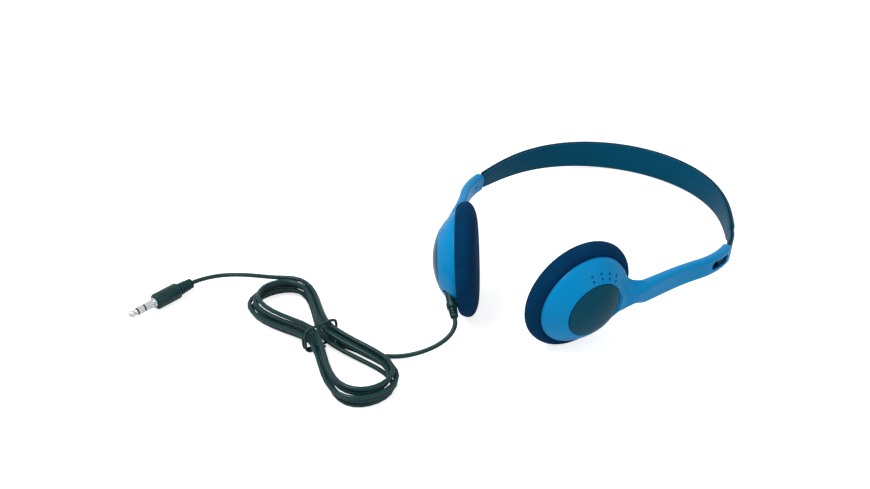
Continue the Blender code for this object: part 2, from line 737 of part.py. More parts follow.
def build_pad(side, cup_frame, ground):
    pad = turned(side + "_ear_pad", pad_profile(), FOAM_NAVY, cup_frame, steps=PAD_SEGMENTS)
    cut(pad, ground)


def build_driver(side, hand, cup_frame):
    base = 0.0
    ledge = base + 1.35 * MM
    hole = YOKE_RADIUS + GAP
    basket_top = base + DRIVER_RIM + 1.2 * MM
    turned(side + "_driver_frame", [
        (DRIVER_RADIUS, base), (DRIVER_RADIUS, base + DRIVER_RIM), (hole, basket_top),
        (hole, basket_top - BASKET_WALL), (DRIVER_RADIUS - DRIVER_WALL, ledge),
        (DRIVER_RADIUS - DRIVER_WALL, base)], BLACK_PLASTIC, cup_frame, steps=DRIVER_ROUND)
    yoke_top = basket_top + BASKET_WALL
    yoke_low = yoke_top - YOKE_HEIGHT
    bore = YOKE_RADIUS - YOKE_WALL
    turned(side + "_yoke", [
        (0.0, yoke_top), (YOKE_RADIUS, yoke_top), (YOKE_RADIUS, yoke_low), (bore, yoke_low),
        (bore, yoke_top - YOKE_BACK), (0.0, yoke_top - YOKE_BACK)], STEEL, cup_frame, steps=SMALL_ROUND)
    pole = bore - 2 * GAP - COIL_WALL
    film_top = ledge - GAP
    pole_low = film_top + GAP
    magnet_low = pole_low + POLE_THICKNESS + GAP
    turned(side + "_top_plate", [
        (0.0, pole_low + POLE_THICKNESS), (pole, pole_low + POLE_THICKNESS), (pole, pole_low),
        (0.0, pole_low)], STEEL, cup_frame, steps=SMALL_ROUND)
    turned(side + "_magnet", [
        (0.0, yoke_top - YOKE_BACK - GAP), (pole, yoke_top - YOKE_BACK - GAP), (pole, magnet_low),
        (0.0, magnet_low)], MAGNET_GREY, cup_frame, steps=SMALL_ROUND)
    turned(side + "_voice_coil", [
        (pole + GAP, yoke_low + 2 * GAP), (pole + GAP + COIL_WALL, yoke_low + 2 * GAP),
        (pole + GAP + COIL_WALL, film_top + GAP / 2), (pole + GAP, film_top + GAP / 2)],
        COPPER, cup_frame, steps=SMALL_ROUND)
    edge = DRIVER_RADIUS - DRIVER_WALL - GAP
    upper = [(0.0, film_top), (pole + GAP, film_top - 0.15 * MM), (0.62 * edge, film_top - 0.4 * MM),
             (0.8 * edge, film_top), (edge, film_top)]
    turned(side + "_diaphragm", upper + [(r, h - FILM) for r, h in reversed(upper)], FILM_CLEAR, cup_frame,
           steps=DRIVER_ROUND)

    ring_out = DRIVER_RADIUS + GAP + RING_THICKNESS
    board_middle = (ring_out + SHELL_RADIUS - SHELL_WALL - GAP - WALL_THICKNESS) / 2
    turn = Matrix.Rotation(hand * BOARD_ANGLE, 4, "Z")
    place = turn @ Matrix.Translation((board_middle, 0.0, BOARD_SIZE[2] / 2))
    block(side + "_terminal_board", BOARD_SIZE, place, BOARD_GREEN, cup_frame)
    ring_top = WALL_HEIGHT - GAP
    landing = DRIVER_RADIUS - 2.1 * MM
    slope = (basket_top - base - DRIVER_RIM) / (DRIVER_RADIUS - hole)
    on_basket = base + DRIVER_RIM + slope * (DRIVER_RADIUS - landing)
    high = base + DRIVER_RIM + WIRE_RADIUS + GAP
    route = [(board_middle, BOARD_SIZE[2] + GAP), (board_middle, BOARD_SIZE[2] + 3 * GAP),
             (ring_out, max(ring_top + 2 * GAP, high - GAP)), (DRIVER_RADIUS, high + GAP / 2),
             (landing + 2 * GAP, on_basket + 3 * GAP), (landing, on_basket + 2 * GAP), (landing, on_basket + GAP)]
    route = [turn @ Vector((r, 0.0, h)) for r, h in route]
    tube(side + "_inner_leads", route, WIRE_RADIUS * 0.8, COPPER, cup_frame, resolution=1)


def build_cup(side, hand, headband, ground):
    hinge = empty(side + "_hinge", Matrix.Translation(slider_centre(hand)) @ hinge_turn(hand), headband)
    arm_frame = empty(side + "_arm_frame", pushed_in_frames(hand), hinge)
    cup_frame = empty(side + "_cup_frame", toe(hand), arm_frame)
    shell = build_shell(side, hand, arm_frame, cup_frame)
    gland_frame = None
    if hand < 0:
        gland_frame = empty("gland_frame", gland_matrix(hand), cup_frame)
        cut(shell, cylinders("gland_hole", [(0.0, 0.0)], GLAND_RADIUS + GAP, -2 * GLAND_INSIDE,
                             GLAND_LENGTH, gland_frame, sides=SMALL_ROUND))
        build_gland(gland_frame)
    build_cap(side, cup_frame)
    build_baffle(side, hand, cup_frame, gland_frame)
    build_pad(side, cup_frame, ground)
    build_driver(side, hand, cup_frame)


# Cable, from the strain relief to the plug.

def gland_matrix(hand):
    """Frame of the strain relief: Z points out along the cable, from the shell's outer radius."""
    angle = hand * GLAND_ANGLE
    turn = Matrix.Rotation(angle, 4, "Z") @ Matrix.Rotation(math.pi / 2 + GLAND_TILT, 4, "Y")
    spot = Vector((SHELL_RADIUS * math.cos(angle), SHELL_RADIUS * math.sin(angle), GLAND_HEIGHT))
    return Matrix.Translation(spot) @ turn


def build_gland(frame):
    step = GLAND_COLLAR + 0.8 * MM
    turned("cable_gland", [
        (0.0, GLAND_LENGTH), (GLAND_NECK * 0.8, GLAND_LENGTH), (GLAND_NECK, GLAND_LENGTH - 0.6 * MM),
        (GLAND_NECK, step), (GLAND_NECK * 0.85, step - 0.2 * MM), (GLAND_NECK * 0.85, step - 0.6 * MM),
        (GLAND_RADIUS, GLAND_COLLAR), (GLAND_RADIUS, -GLAND_INSIDE), (0.0, -GLAND_INSIDE)],
        CABLE_GREEN, frame, steps=SMALL_ROUND)


def hank_level(turns):
    """Layer at a number of turns: the hank starts in the top one and climbs down at each reversal."""
    level = float(len(HANK_REVERSALS))
    for reversal in HANK_REVERSALS:
        level -= smooth_step((turns - reversal) / HANK_CLIMB + 0.5)
    return level


def hank_inset(turns):
    """Steps inwards from the outermost loop: in and out again at a steady rate."""
    inset, last, way = 0.0, HANK_START, 1.0
    for reversal in HANK_REVERSALS + (HANK_END,):
        inset += way * (min(turns, reversal) - last)
        if turns <= reversal:
            break
        last, way = reversal, -way
    return inset


def hank_point(turns):
    step = 2 * CABLE_RADIUS + HANK_GAP
    level = hank_level(turns)
    angle = math.tau * (turns - 0.25)
    c, s = math.cos(angle), math.sin(angle)
    deepest = HANK_REVERSALS[0] - HANK_START
    inset = hank_inset(turns) * step
    fan = HANK_FAN * level * c * c
    waist = step / 2 + HANK_WAIST_SPREAD * (deepest * step - inset)
    belly = HANK_HALF_WIDTH - 0.36 * inset - 1.6 * fan
    x = (HANK_HALF_LENGTH - inset - fan) * c
    y = -s * (waist + 2.32 * belly * (c * c + 0.004) ** 0.75)
    lift = (2 * TIE_RADIUS + GAP) * math.exp(-(x / (14 * MM)) ** 2)
    return Vector((x, y, CABLE_RADIUS + lift + step * level))


def hank_line():
    """The hank's points, with a straight end of one cable diameter at each end."""
    count = round((HANK_END - HANK_START) * HANK_POINTS_PER_TURN)
    turns = [HANK_START + (HANK_END - HANK_START) * i / count for i in range(count + 1)]
    points = [hank_point(t) for t in turns]
    nudge = 0.01
    first = (hank_point(HANK_START - nudge) - hank_point(HANK_START + nudge)).normalized()
    last = (hank_point(HANK_END + nudge) - hank_point(HANK_END - nudge)).normalized()
    return [points[0] + first * 2 * CABLE_RADIUS] + points + [points[-1] + last * 2 * CABLE_RADIUS]


def hank_matrix():
    return Matrix.Translation(HANK_CENTRE) @ Matrix.Rotation(HANK_ANGLE, 4, "Z")


def least_gap(points, radius):
    """Least clear distance of a tube to itself, measured between its segments' points."""
    fine = [a.lerp(b, t / 3) for a, b in zip(points, points[1:]) for t in range(3)]
    least = 1.0
    skip = 3 * HANK_POINTS_PER_TURN // 4
    for i in range(len(fine)):
        for j in range(i + skip, len(fine)):
            least = min(least, (fine[i] - fine[j]).length)
    return least - 2 * radius


def lead_route(gland_tip, gland_way, hank_end, hank_way):
    """From the strain relief down to the surface and along it to the hank's waist."""
    middle = [Vector(p) * MM for p in (
        (-31.6, -183.0, 7.9), (-34.2, -187.6, 4.7), (-39.0, -192.0, 2.3), (-45.2, -196.2, 1.15),
        (-52.0, -199.8, 1.1), (-58.3, -201.9, 1.1), (-64.3, -202.7, 1.5), (-70.2, -202.7, 2.0),
        (-74.5, -202.9, 2.3))]
    start = gland_tip + gland_way * GAP
    end = hank_end - hank_way * GAP
    return [start, start + gland_way * 2.2 * MM, start + gland_way * 4.4 * MM] + middle + [
        end - hank_way * 1.2 * MM, end]


def tail_route(hank_start, hank_way, boot_end, boot_way):
    """From the hank's far tip down to the surface and round to the plug's boot."""
    middle = [Vector(p) * MM for p in (
        (-131.5, -172.4, 4.6), (-137.6, -174.0, 2.6), (-143.8, -176.2, 1.9), (-149.0, -179.6, 2.4))]
    start = hank_start - hank_way * GAP
    end = boot_end - boot_way * GAP
    return [start, start - hank_way * 2.2 * MM, start - hank_way * 4.4 * MM] + middle + [
        end - boot_way * 4.4 * MM, end - boot_way * 2.2 * MM, end]


def build_cable(root, gland_world):
    place = hank_matrix()
    local = hank_line()
    print("hank: least gap to itself %.2f mm" % (least_gap(local, CABLE_RADIUS) / MM))
    hank = [place @ p for p in local]
    tube("cable_hank", hank, CABLE_RADIUS, CABLE_GREEN, root, resolution=1)

    gland_way = (gland_world.to_3x3() @ Vector((0, 0, 1))).normalized()
    gland_tip = gland_world @ Vector((0, 0, GLAND_LENGTH))
    lead = lead_route(gland_tip, gland_way, hank[-1], (hank[-2] - hank[-1]).normalized())
    tube("cable_lead", smooth_route(lead, 4 * CABLE_RADIUS), CABLE_RADIUS, CABLE_GREEN, root)

    way = PLUG_DIRECTION.normalized()
    body = PLUG_PLACE + Vector((0, 0, PLUG_RADIUS))
    tail = tail_route(hank[0], (hank[1] - hank[0]).normalized(), body - way * BOOT_LENGTH, way)
    tube("cable_tail", smooth_route(tail, 4 * CABLE_RADIUS), CABLE_RADIUS, CABLE_GREEN, root)
    length = 0.0
    for run in (lead, hank, tail):
        length += sum((b - a).length for a, b in zip(run, run[1:]))
    print("cable: length %.0f mm" % (length / MM))
    build_tie(root, place)
    build_plug(root, Matrix.Translation(body) @ way.to_track_quat("Z", "Y").to_matrix().to_4x4())


def build_tie(root, place):
    """A wire tie wound once round the waist, with its two ends lying beside it."""
    line = hank_line()
    width = TIE_TURNS * TIE_PITCH
    inside = [a.lerp(b, i / 20) for a, b in zip(line, line[1:]) for i in range(20)]
    inside = [p for p in inside if abs(p.x) < width / 2 + TIE_RADIUS]
    clear = CABLE_RADIUS + GAP + TIE_RADIUS
    half = max(abs(p.y) for p in inside) + clear
    bottom = TIE_RADIUS
    top = max(p.z for p in inside) + clear
    middle, reach = (bottom + top) / 2, (top - bottom) / 2
    points = []
    for i in range(TIE_POINTS + 1):
        angle = math.tau * (TIE_TURNS * i / TIE_POINTS) - math.radians(100)
        square = (abs(math.cos(angle)) ** TIE_CORNER + abs(math.sin(angle)) ** TIE_CORNER) ** (1 / TIE_CORNER)
        x = (i / TIE_POINTS - 0.5) * width
        points.append(Vector((x, half * math.cos(angle) / square, middle + reach * math.sin(angle) / square)))
    points = [place @ p for p in points]
    tube("hank_tie", points, TIE_RADIUS, CABLE_GREEN, root, resolution=1)


def build_plug(root, matrix):
    frame = empty("plug_frame", matrix, root)
    points = [(0.0, PLUG_LENGTH), (PLUG_RADIUS - PLUG_EDGE, PLUG_LENGTH), (PLUG_RADIUS, PLUG_LENGTH - PLUG_EDGE),
              (PLUG_RADIUS, PLUG_EDGE), (PLUG_RADIUS - PLUG_EDGE, 0.0)]
    pitch = BOOT_LENGTH / BOOT_RIBS
    for i in range(BOOT_RIBS):
        radius = BOOT_RADII[0] + (BOOT_RADII[1] - BOOT_RADII[0]) * (i + 0.5) / BOOT_RIBS
        start = -i * pitch
        points += [(radius - RIB_DEPTH, start - 0.05 * pitch), (radius - RIB_DEPTH, start - 0.3 * pitch),
                   (radius, start - 0.4 * pitch), (radius, start - 0.95 * pitch)]
    points += [(0.0, -BOOT_LENGTH)]
    body = turned("plug_body", points, CABLE_GREEN, frame, steps=SMALL_ROUND)
    core = 0.8 * MM
    bore = cylinders("plug_bore", [(0.0, 0.0)], core + GAP, PLUG_LENGTH - 3 * MM, PLUG_LENGTH + MM, frame)
    cut(body, bore)

    start = PLUG_LENGTH + GAP
    shoulder = start + 0.9 * MM  # the flat face that meets the socket
    turned("plug_sleeve_contact", [
        (core + GAP, start + SLEEVE_LENGTH), (CONTACT_RADIUS, start + SLEEVE_LENGTH), (CONTACT_RADIUS, shoulder),
        (CONTACT_RADIUS + 0.6 * MM, shoulder), (CONTACT_RADIUS + 0.6 * MM, start), (core + GAP, start)],
        CHROME, frame, steps=SMALL_ROUND)
    ring = start + SLEEVE_LENGTH + INSULATOR_WIDTH + 2 * GAP
    turned("plug_ring_contact", [
        (core + GAP, ring + RING_LENGTH), (CONTACT_RADIUS, ring + RING_LENGTH), (CONTACT_RADIUS, ring),
        (core + GAP, ring)], CHROME, frame, steps=SMALL_ROUND)
    for i, spot in enumerate((start + SLEEVE_LENGTH + GAP, ring + RING_LENGTH + GAP)):
        turned("plug_insulator_%d" % (i + 1), [
            (core + GAP, spot + INSULATOR_WIDTH), (INSULATOR_RADIUS, spot + INSULATOR_WIDTH),
            (INSULATOR_RADIUS, spot), (core + GAP, spot)], BLACK_PLASTIC, frame, steps=SMALL_ROUND)
    tip = ring + RING_LENGTH + INSULATOR_WIDTH + 2 * GAP
    end = start + CONTACT_LENGTH
    turned("plug_tip_contact", [
        (0.0, end), (0.5 * MM, end - 0.1 * MM), (1.1 * MM, end - 0.7 * MM), (1.6 * MM, end - 1.9 * MM),
        (1.55 * MM, end - 2.3 * MM), (1.15 * MM, end - 3.0 * MM), (1.15 * MM, tip + 0.3 * MM),
        (CONTACT_RADIUS - 0.2 * MM, tip), (core, tip), (core, PLUG_LENGTH - 2.5 * MM),
        (0.0, PLUG_LENGTH - 2.5 * MM)], CHROME, frame, steps=SMALL_ROUND)


def centre_on_base(root):
    """Move the root so that the origin is at the bottom centre of everything but the cable."""
    cord = ("cable_", "hank_", "plug_")
    low, high = Vector((9.0,) * 3), Vector((-9.0,) * 3)
    graph = bpy.context.evaluated_depsgraph_get()
    for item in PARTS.objects:
        if item.type == "EMPTY" or item.name.startswith(cord):
            continue
        shape = item.evaluated_get(graph)
        mesh = shape.to_mesh()
        for vertex in mesh.vertices:
            spot = shape.matrix_world @ vertex.co
            low = Vector(map(min, low, spot))
            high = Vector(map(max, high, spot))
        shape.to_mesh_clear()
    root.location = (-(low.x + high.x) / 2, -(low.y + high.y) / 2, -low.z)
    print("origin: moved by", [round(v / MM, 3) for v in root.location])


def main():
    root = empty("headphones_root", Matrix())
    headband = empty("headband_frame", resting_frame(), root)
    below = Matrix.Translation((0.0, -BAND_HALF_LENGTH, -10 * MM))
    ground = block("ground", (0.5, 0.5, 20 * MM), below, None, root)
    build_headband(headband)
    for side, hand in (("left", -1), ("right", 1)):
        build_cup(side, hand, headband, ground)
    gland_world = resting_frame() @ arm_matrix(-1) @ toe(-1) @ gland_matrix(-1)
    build_cable(root, gland_world)
    bpy.context.view_layer.update()
    centre_on_base(root)


main()
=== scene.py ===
"""Wired on-ear headphones on a white table: the headband, the two cups, and the tied-up cable.

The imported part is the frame. What shows is made again here with finer shapes, in the same places.
"""

import math

import bmesh
import bpy
import numpy as np
from mathutils import Matrix, Vector
from mathutils.geometry import interpolate_bezier


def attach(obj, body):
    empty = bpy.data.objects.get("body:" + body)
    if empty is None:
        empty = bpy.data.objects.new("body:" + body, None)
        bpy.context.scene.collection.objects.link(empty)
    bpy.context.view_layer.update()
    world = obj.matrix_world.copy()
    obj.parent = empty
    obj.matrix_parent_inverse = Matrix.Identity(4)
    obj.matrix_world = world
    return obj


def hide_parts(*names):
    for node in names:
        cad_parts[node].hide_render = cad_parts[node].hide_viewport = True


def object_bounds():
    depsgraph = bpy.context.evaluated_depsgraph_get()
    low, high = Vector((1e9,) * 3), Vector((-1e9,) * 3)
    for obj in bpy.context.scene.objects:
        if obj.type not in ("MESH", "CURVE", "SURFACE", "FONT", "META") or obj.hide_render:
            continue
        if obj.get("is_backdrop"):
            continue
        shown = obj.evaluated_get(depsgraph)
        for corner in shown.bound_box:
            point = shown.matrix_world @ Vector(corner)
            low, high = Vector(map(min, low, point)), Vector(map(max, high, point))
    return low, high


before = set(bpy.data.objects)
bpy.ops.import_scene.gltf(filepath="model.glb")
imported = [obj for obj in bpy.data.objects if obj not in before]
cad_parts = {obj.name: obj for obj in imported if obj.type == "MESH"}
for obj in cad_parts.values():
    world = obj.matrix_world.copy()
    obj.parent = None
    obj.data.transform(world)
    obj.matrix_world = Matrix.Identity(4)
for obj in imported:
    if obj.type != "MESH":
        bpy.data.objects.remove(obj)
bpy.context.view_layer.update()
MM = 0.001


# The headband: an outer strap and an inner liner of dark teal plastic, laid one on the other with
# the crossover wire between them. Both narrow to the curved tongues that slide in the arms. The
# strap is the thicker one, and its edges stand a little proud of the liner's.
BAND_HALF = 99.0 * MM
CROWN_RADIUS = 49.1 * MM
BAND_WIDTH, BAND_END_WIDTH = 13.8 * MM, 7.6 * MM
BAND_END_ANGLE = BAND_HALF / CROWN_RADIUS * 2 / 3
SLIDER_RADIUS = 55.0 * MM
TONGUE_WIDTH, TIP_WIDTH = 6.0 * MM, 6.8 * MM
TONGUE_END = 30.4 * MM  # from the band's end to the tip of the tongue
TIP_LENGTH = 3.3 * MM
TIP_TAPER = 0.5 * MM  # the lead-in at the very end
STEP_RUN = 0.35 * MM  # over which the band's end drops to the tongue
STRAP_THICKNESS, LINER_THICKNESS = 1.2 * MM, 1.0 * MM
TONGUE_LAYER = 0.9 * MM  # the thickness of either layer in the tongue
LINER_INSET = 0.15 * MM
LAYER_GAP = 0.3 * MM
LAYER_EDGE = 0.28 * MM  # the rounding of a layer's edges
UP = Vector((0.01282, 0.10738, 0.99413))
AHEAD = (Vector((0, 1, 0)) - UP * UP.y).normalized()
HEADBAND = Matrix((AHEAD.cross(UP), AHEAD, UP)).transposed().to_4x4()
HEADBAND.translation = Vector((0.19, 88.07, 7.0)) * MM


def band_heading(s):
    """The band's direction, which turns less and less toward its ends."""
    return (s - s ** 3 / (3 * BAND_HALF ** 2)) / CROWN_RADIUS


def band_line(s):
    """The middle of the band or tongue, and its outward normal, at a signed way from the crown."""
    hand, far = math.copysign(1, s), abs(s)
    on_band = min(far, BAND_HALF)
    steps = 60
    headings = [band_heading(on_band * (i + 0.5) / steps) for i in range(steps)]
    x = sum(math.cos(heading) for heading in headings) * on_band / steps
    y = -sum(math.sin(heading) for heading in headings) * on_band / steps
    angle = band_heading(on_band)
    normal = Vector((hand * math.sin(angle), math.cos(angle), 0))
    spot = Vector((hand * x, y, 0))
    if far > BAND_HALF:
        centre = spot - SLIDER_RADIUS * normal
        angle += (far - BAND_HALF) / SLIDER_RADIUS
        normal = Vector((hand * math.sin(angle), math.cos(angle), 0))
        spot = centre + SLIDER_RADIUS * normal
    return spot, normal


def closed_section(half, near, far, edge):
    """A rectangle with rounded corners, as (across, out) points."""
    points = []
    for x, y, start in ((half, far, 0), (-half, far, 90), (-half, near, 180), (half, near, 270)):
        for step in range(4):
            angle = math.radians(start + 30 * step)
            points.append((x - math.copysign(edge, x) + edge * math.cos(angle),
                           y + (edge if y == near else -edge) + edge * math.sin(angle)))
    return points


def skin(name, rings):
    """A closed mesh skinned over rings of points."""
    work = bmesh.new()
    made = [[work.verts.new(p) for p in ring] for ring in rings]
    count = len(made[0])
    for a, b in zip(made, made[1:]):
        for i in range(count):
            work.faces.new((a[i], a[(i + 1) % count], b[(i + 1) % count], b[i]))
    work.faces.new(made[0][::-1])
    work.faces.new(made[-1])
    bmesh.ops.recalc_face_normals(work, faces=work.faces)
    mesh = bpy.data.meshes.new(name)
    work.to_mesh(mesh)
    work.free()
    mesh.shade_smooth()
    mesh.set_sharp_from_angle(angle=math.radians(40))
    piece = bpy.data.objects.new(name, mesh)
    bpy.context.collection.objects.link(piece)
    return piece


def band_layer(name, way, thickness, inset):
    """One layer from tongue tip to tongue tip; way is 1 on the outer side."""
    root, shoulder = BAND_HALF + STEP_RUN, BAND_HALF + TONGUE_END - TIP_LENGTH
    half_run = [BAND_HALF * i / 48 for i in range(49)]
    half_run += [root + (shoulder - root) * i / 14 for i in range(15)]
    half_run += [shoulder + 0.3 * MM, shoulder + TIP_LENGTH * 0.8, shoulder + TIP_LENGTH]
    rings = []
    for s in [-s for s in reversed(half_run[1:])] + half_run:
        far, thick = abs(s), TONGUE_LAYER
        if far <= BAND_HALF:
            taper = (BAND_WIDTH - BAND_END_WIDTH) * (far / BAND_HALF) ** 2
            width, thick = BAND_WIDTH - taper - 2 * inset, thickness
        elif far < shoulder + 0.1 * MM:
            width = TONGUE_WIDTH
        elif far < shoulder + TIP_LENGTH * 0.9:
            width = TIP_WIDTH
        else:
            width = TIP_WIDTH - TIP_TAPER
        spot, normal = band_line(s)
        section = closed_section(width / 2, LAYER_GAP / 2, LAYER_GAP / 2 + thick, LAYER_EDGE)
        rings.append([HEADBAND @ (spot + normal * out * way + Vector((0, 0, across)))
                      for across, out in section])
    return skin(name, rings)


def plastic(name, colour, roughness, grain, grain_depth, variation, coat=0.0, gloss=0.05):
    """Moulded plastic: a fine spark-eroded grain, and faint clouds in its colour and gloss."""
    made = bpy.data.materials.new(name)
    made.use_nodes = True
    nodes, links = made.node_tree.nodes, made.node_tree.links
    shader = nodes["Principled BSDF"]
    place = nodes.new("ShaderNodeTexCoord")
    cloud = nodes.new("ShaderNodeTexNoise")
    cloud.inputs["Scale"].default_value = 45.0
    cloud.inputs["Detail"].default_value = 4.0
    links.new(place.outputs["Object"], cloud.inputs["Vector"])
    tone = nodes.new("ShaderNodeValToRGB")
    tone.color_ramp.elements[0].position, tone.color_ramp.elements[1].position = 0.3, 0.7
    tone.color_ramp.elements[0].color = (*[c * (1 - variation) for c in colour], 1)
    tone.color_ramp.elements[1].color = (*[c * (1 + variation) for c in colour], 1)
    links.new(cloud.outputs["Fac"], tone.inputs["Fac"])
    links.new(tone.outputs["Color"], shader.inputs["Base Color"])
    rough = nodes.new("ShaderNodeMapRange")
    rough.inputs["To Min"].default_value = roughness * 0.88
    rough.inputs["To Max"].default_value = roughness * 1.12
    links.new(cloud.outputs["Fac"], rough.inputs["Value"])
    links.new(rough.outputs["Result"], shader.inputs["Roughness"])
    pits = nodes.new("ShaderNodeTexNoise")
    pits.inputs["Scale"].default_value = grain
    pits.inputs["Detail"].default_value = 2.0
    links.new(place.outputs["Object"], pits.inputs["Vector"])
    bump = nodes.new("ShaderNodeBump")
    bump.inputs["Strength"].default_value = 1.0
    bump.inputs["Distance"].default_value = grain_depth
    links.new(pits.outputs["Fac"], bump.inputs["Height"])
    links.new(bump.outputs["Normal"], shader.inputs["Normal"])
    shader.inputs["Specular IOR Level"].default_value = gloss
    if coat:
        shader.inputs["Coat Weight"].default_value = coat
        shader.inputs["Coat Roughness"].default_value = 0.06
    return made


teal_plastic = plastic("band teal", (0.0, 0.068, 0.134), roughness=0.42, grain=2600.0,
                       grain_depth=0.004 * MM, variation=0.05)
dark_teal_plastic = plastic("strap teal", (0.0, 0.046, 0.088), roughness=0.42, grain=2600.0,
                            grain_depth=0.004 * MM, variation=0.05)
strap = band_layer("headband_strap", 1, STRAP_THICKNESS, 0.0)
liner = band_layer("headband_liner", -1, LINER_THICKNESS, LINER_INSET)
for piece, node, finish in ((strap, "band_outer_strap", dark_teal_plastic),
                            (liner, "band_inner_liner", teal_plastic)):
    piece.data.materials.append(finish)
    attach(piece, "headband")
    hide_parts(node)


# The two arms, each moulded in one with its cup's shell from bright blue plastic. A hollow sleeve
# takes the band's tongue, a slot in its outer face shows it, and the arm widens into the shell's
# dome with a fillet. A turned recess takes the cap, and eight vents are bored beside it.
ARM_WIDTH, ARM_THICKNESS = 9.2 * MM, 4.3 * MM
ARM_ARC = math.radians(25.0)
ARM_STRAIGHT = 62.6 * MM
ARM_FILLET = 15.0 * MM
ARM_GROWTH = 0.6 * MM  # on each side, from the sleeve to the shell
ARM_EDGE, MOUTH_EDGE = 2.2 * MM, 1.0 * MM  # the rounding of the arm's long edges and its ends
ARM_END = 9.0 * MM  # inside the dome, from the cup's axis
ARM_RISE = 0.105  # how steeply the arm climbs outwards to run up the shell's dome
RISE_START = 16.0 * MM  # the run in which the climb grows to that steepness
UNDER_SHARE = 0.7  # how much of the climb the arm's inner face follows
DIP, DIP_START, DIP_RUN = 1.7 * MM, 24.0 * MM, 11.0 * MM  # the climb eases off beside the cap
ROOT_SIDE = 1.6 * MM  # how high the root's sides end above the shell's rim
FLAT_SHARE = 0.25  # of the root's width, on top
ROOT_FILLET = 3.2 * MM  # between the arm and the dome
CUP_OFFSET, CUP_LEAN, CUP_TOE = 3.9 * MM, math.radians(3.6), math.radians(8.0)
MOUTH_OFFSET, MOUTH_BULGE = 1.8 * MM, 1.5 * MM
SHELL_RADIUS, SHELL_TOP = 20.8 * MM, 7.9 * MM
SHELL_SLOPE = ((0, 8.35), (12.7, 8.3), (13.3, 7.9), (14.6, 7.0), (16.5, 5.5), (18.6, 3.6),
               (20.2, 1.8), (20.8, 0.9))  # radius and height of the dome's flank, in mm
DOME_TOP, DOME_DROP = 8.35 * MM, 7.45 * MM
BULGE_START, BULGE_RUN, BULGE_POWER = 9.4 * MM, 11.4 * MM, 1.62
LOWER_SHARE = 0.35  # of the lower of the slope and the bulge, in the flank between them
HEIGHT_SCALE = 0.75  # from a height over the dome to about a distance from it
SHELL_EDGE, RIM_EDGE = 1.4 * MM, 0.3 * MM  # the rounding of the dome's outer edge and its rim
LIP_RADIUS = 12.7 * MM
CAP_RADIUS = 12.4 * MM
ARC_LENGTH = SLIDER_RADIUS * ARM_ARC
DRAWN_OUT = {"left": 0.0, "right": 18.2 * MM}
HAND = {"left": -1, "right": 1}
LEAN = Vector((math.sin(CUP_LEAN), 0, math.cos(CUP_LEAN)))
BACK = Vector((math.cos(CUP_LEAN), 0, -math.sin(CUP_LEAN)))
ARC_CENTRE = (CUP_OFFSET - SLIDER_RADIUS) * LEAN + ARM_STRAIGHT * BACK


def arm_place(side):
    """The arm's frame, before the cup's toe: X runs from cup to arm, Z is the outer side."""
    hand = HAND[side]
    end, normal = band_line(hand * BAND_HALF)
    centre = Matrix.Translation(end - SLIDER_RADIUS * normal)
    start = BAND_END_ANGLE + MOUTH_OFFSET / SLIDER_RADIUS + ARM_ARC

    def along(angle):
        return (Vector((hand * math.cos(angle), -math.sin(angle), 0)),
                Vector((hand * math.sin(angle), math.cos(angle), 0)))

    tangent, normal = along(start)
    middle = (SLIDER_RADIUS - CUP_OFFSET) * normal + ARM_STRAIGHT * tangent
    tangent, normal = along(start + CUP_LEAN)
    turn = Matrix((-tangent, normal.cross(-tangent), normal)).transposed().to_4x4()
    slide = Matrix.Rotation(-hand * DRAWN_OUT[side] / SLIDER_RADIUS, 4, "Z")
    return HEADBAND @ centre @ slide @ Matrix.Translation(middle) @ turn


def cup_place(side):
    """The cup's frame: Z is the cap's axis, and the shell's rim lies at zero height."""
    return arm_place(side) @ Matrix.Rotation(HAND[side] * CUP_TOE, 4, "X")


def ease(value):
    """A soft step from 0 to 1."""
    value = np.clip(value, 0, 1)
    return value * value * (3 - 2 * value)


def round_max(a, b, radius):
    """The larger of two distances, with the edge between them rounded."""
    blend = np.maximum(radius - np.abs(a - b), 0) / radius
    return np.maximum(a, b) + blend * blend * radius / 4


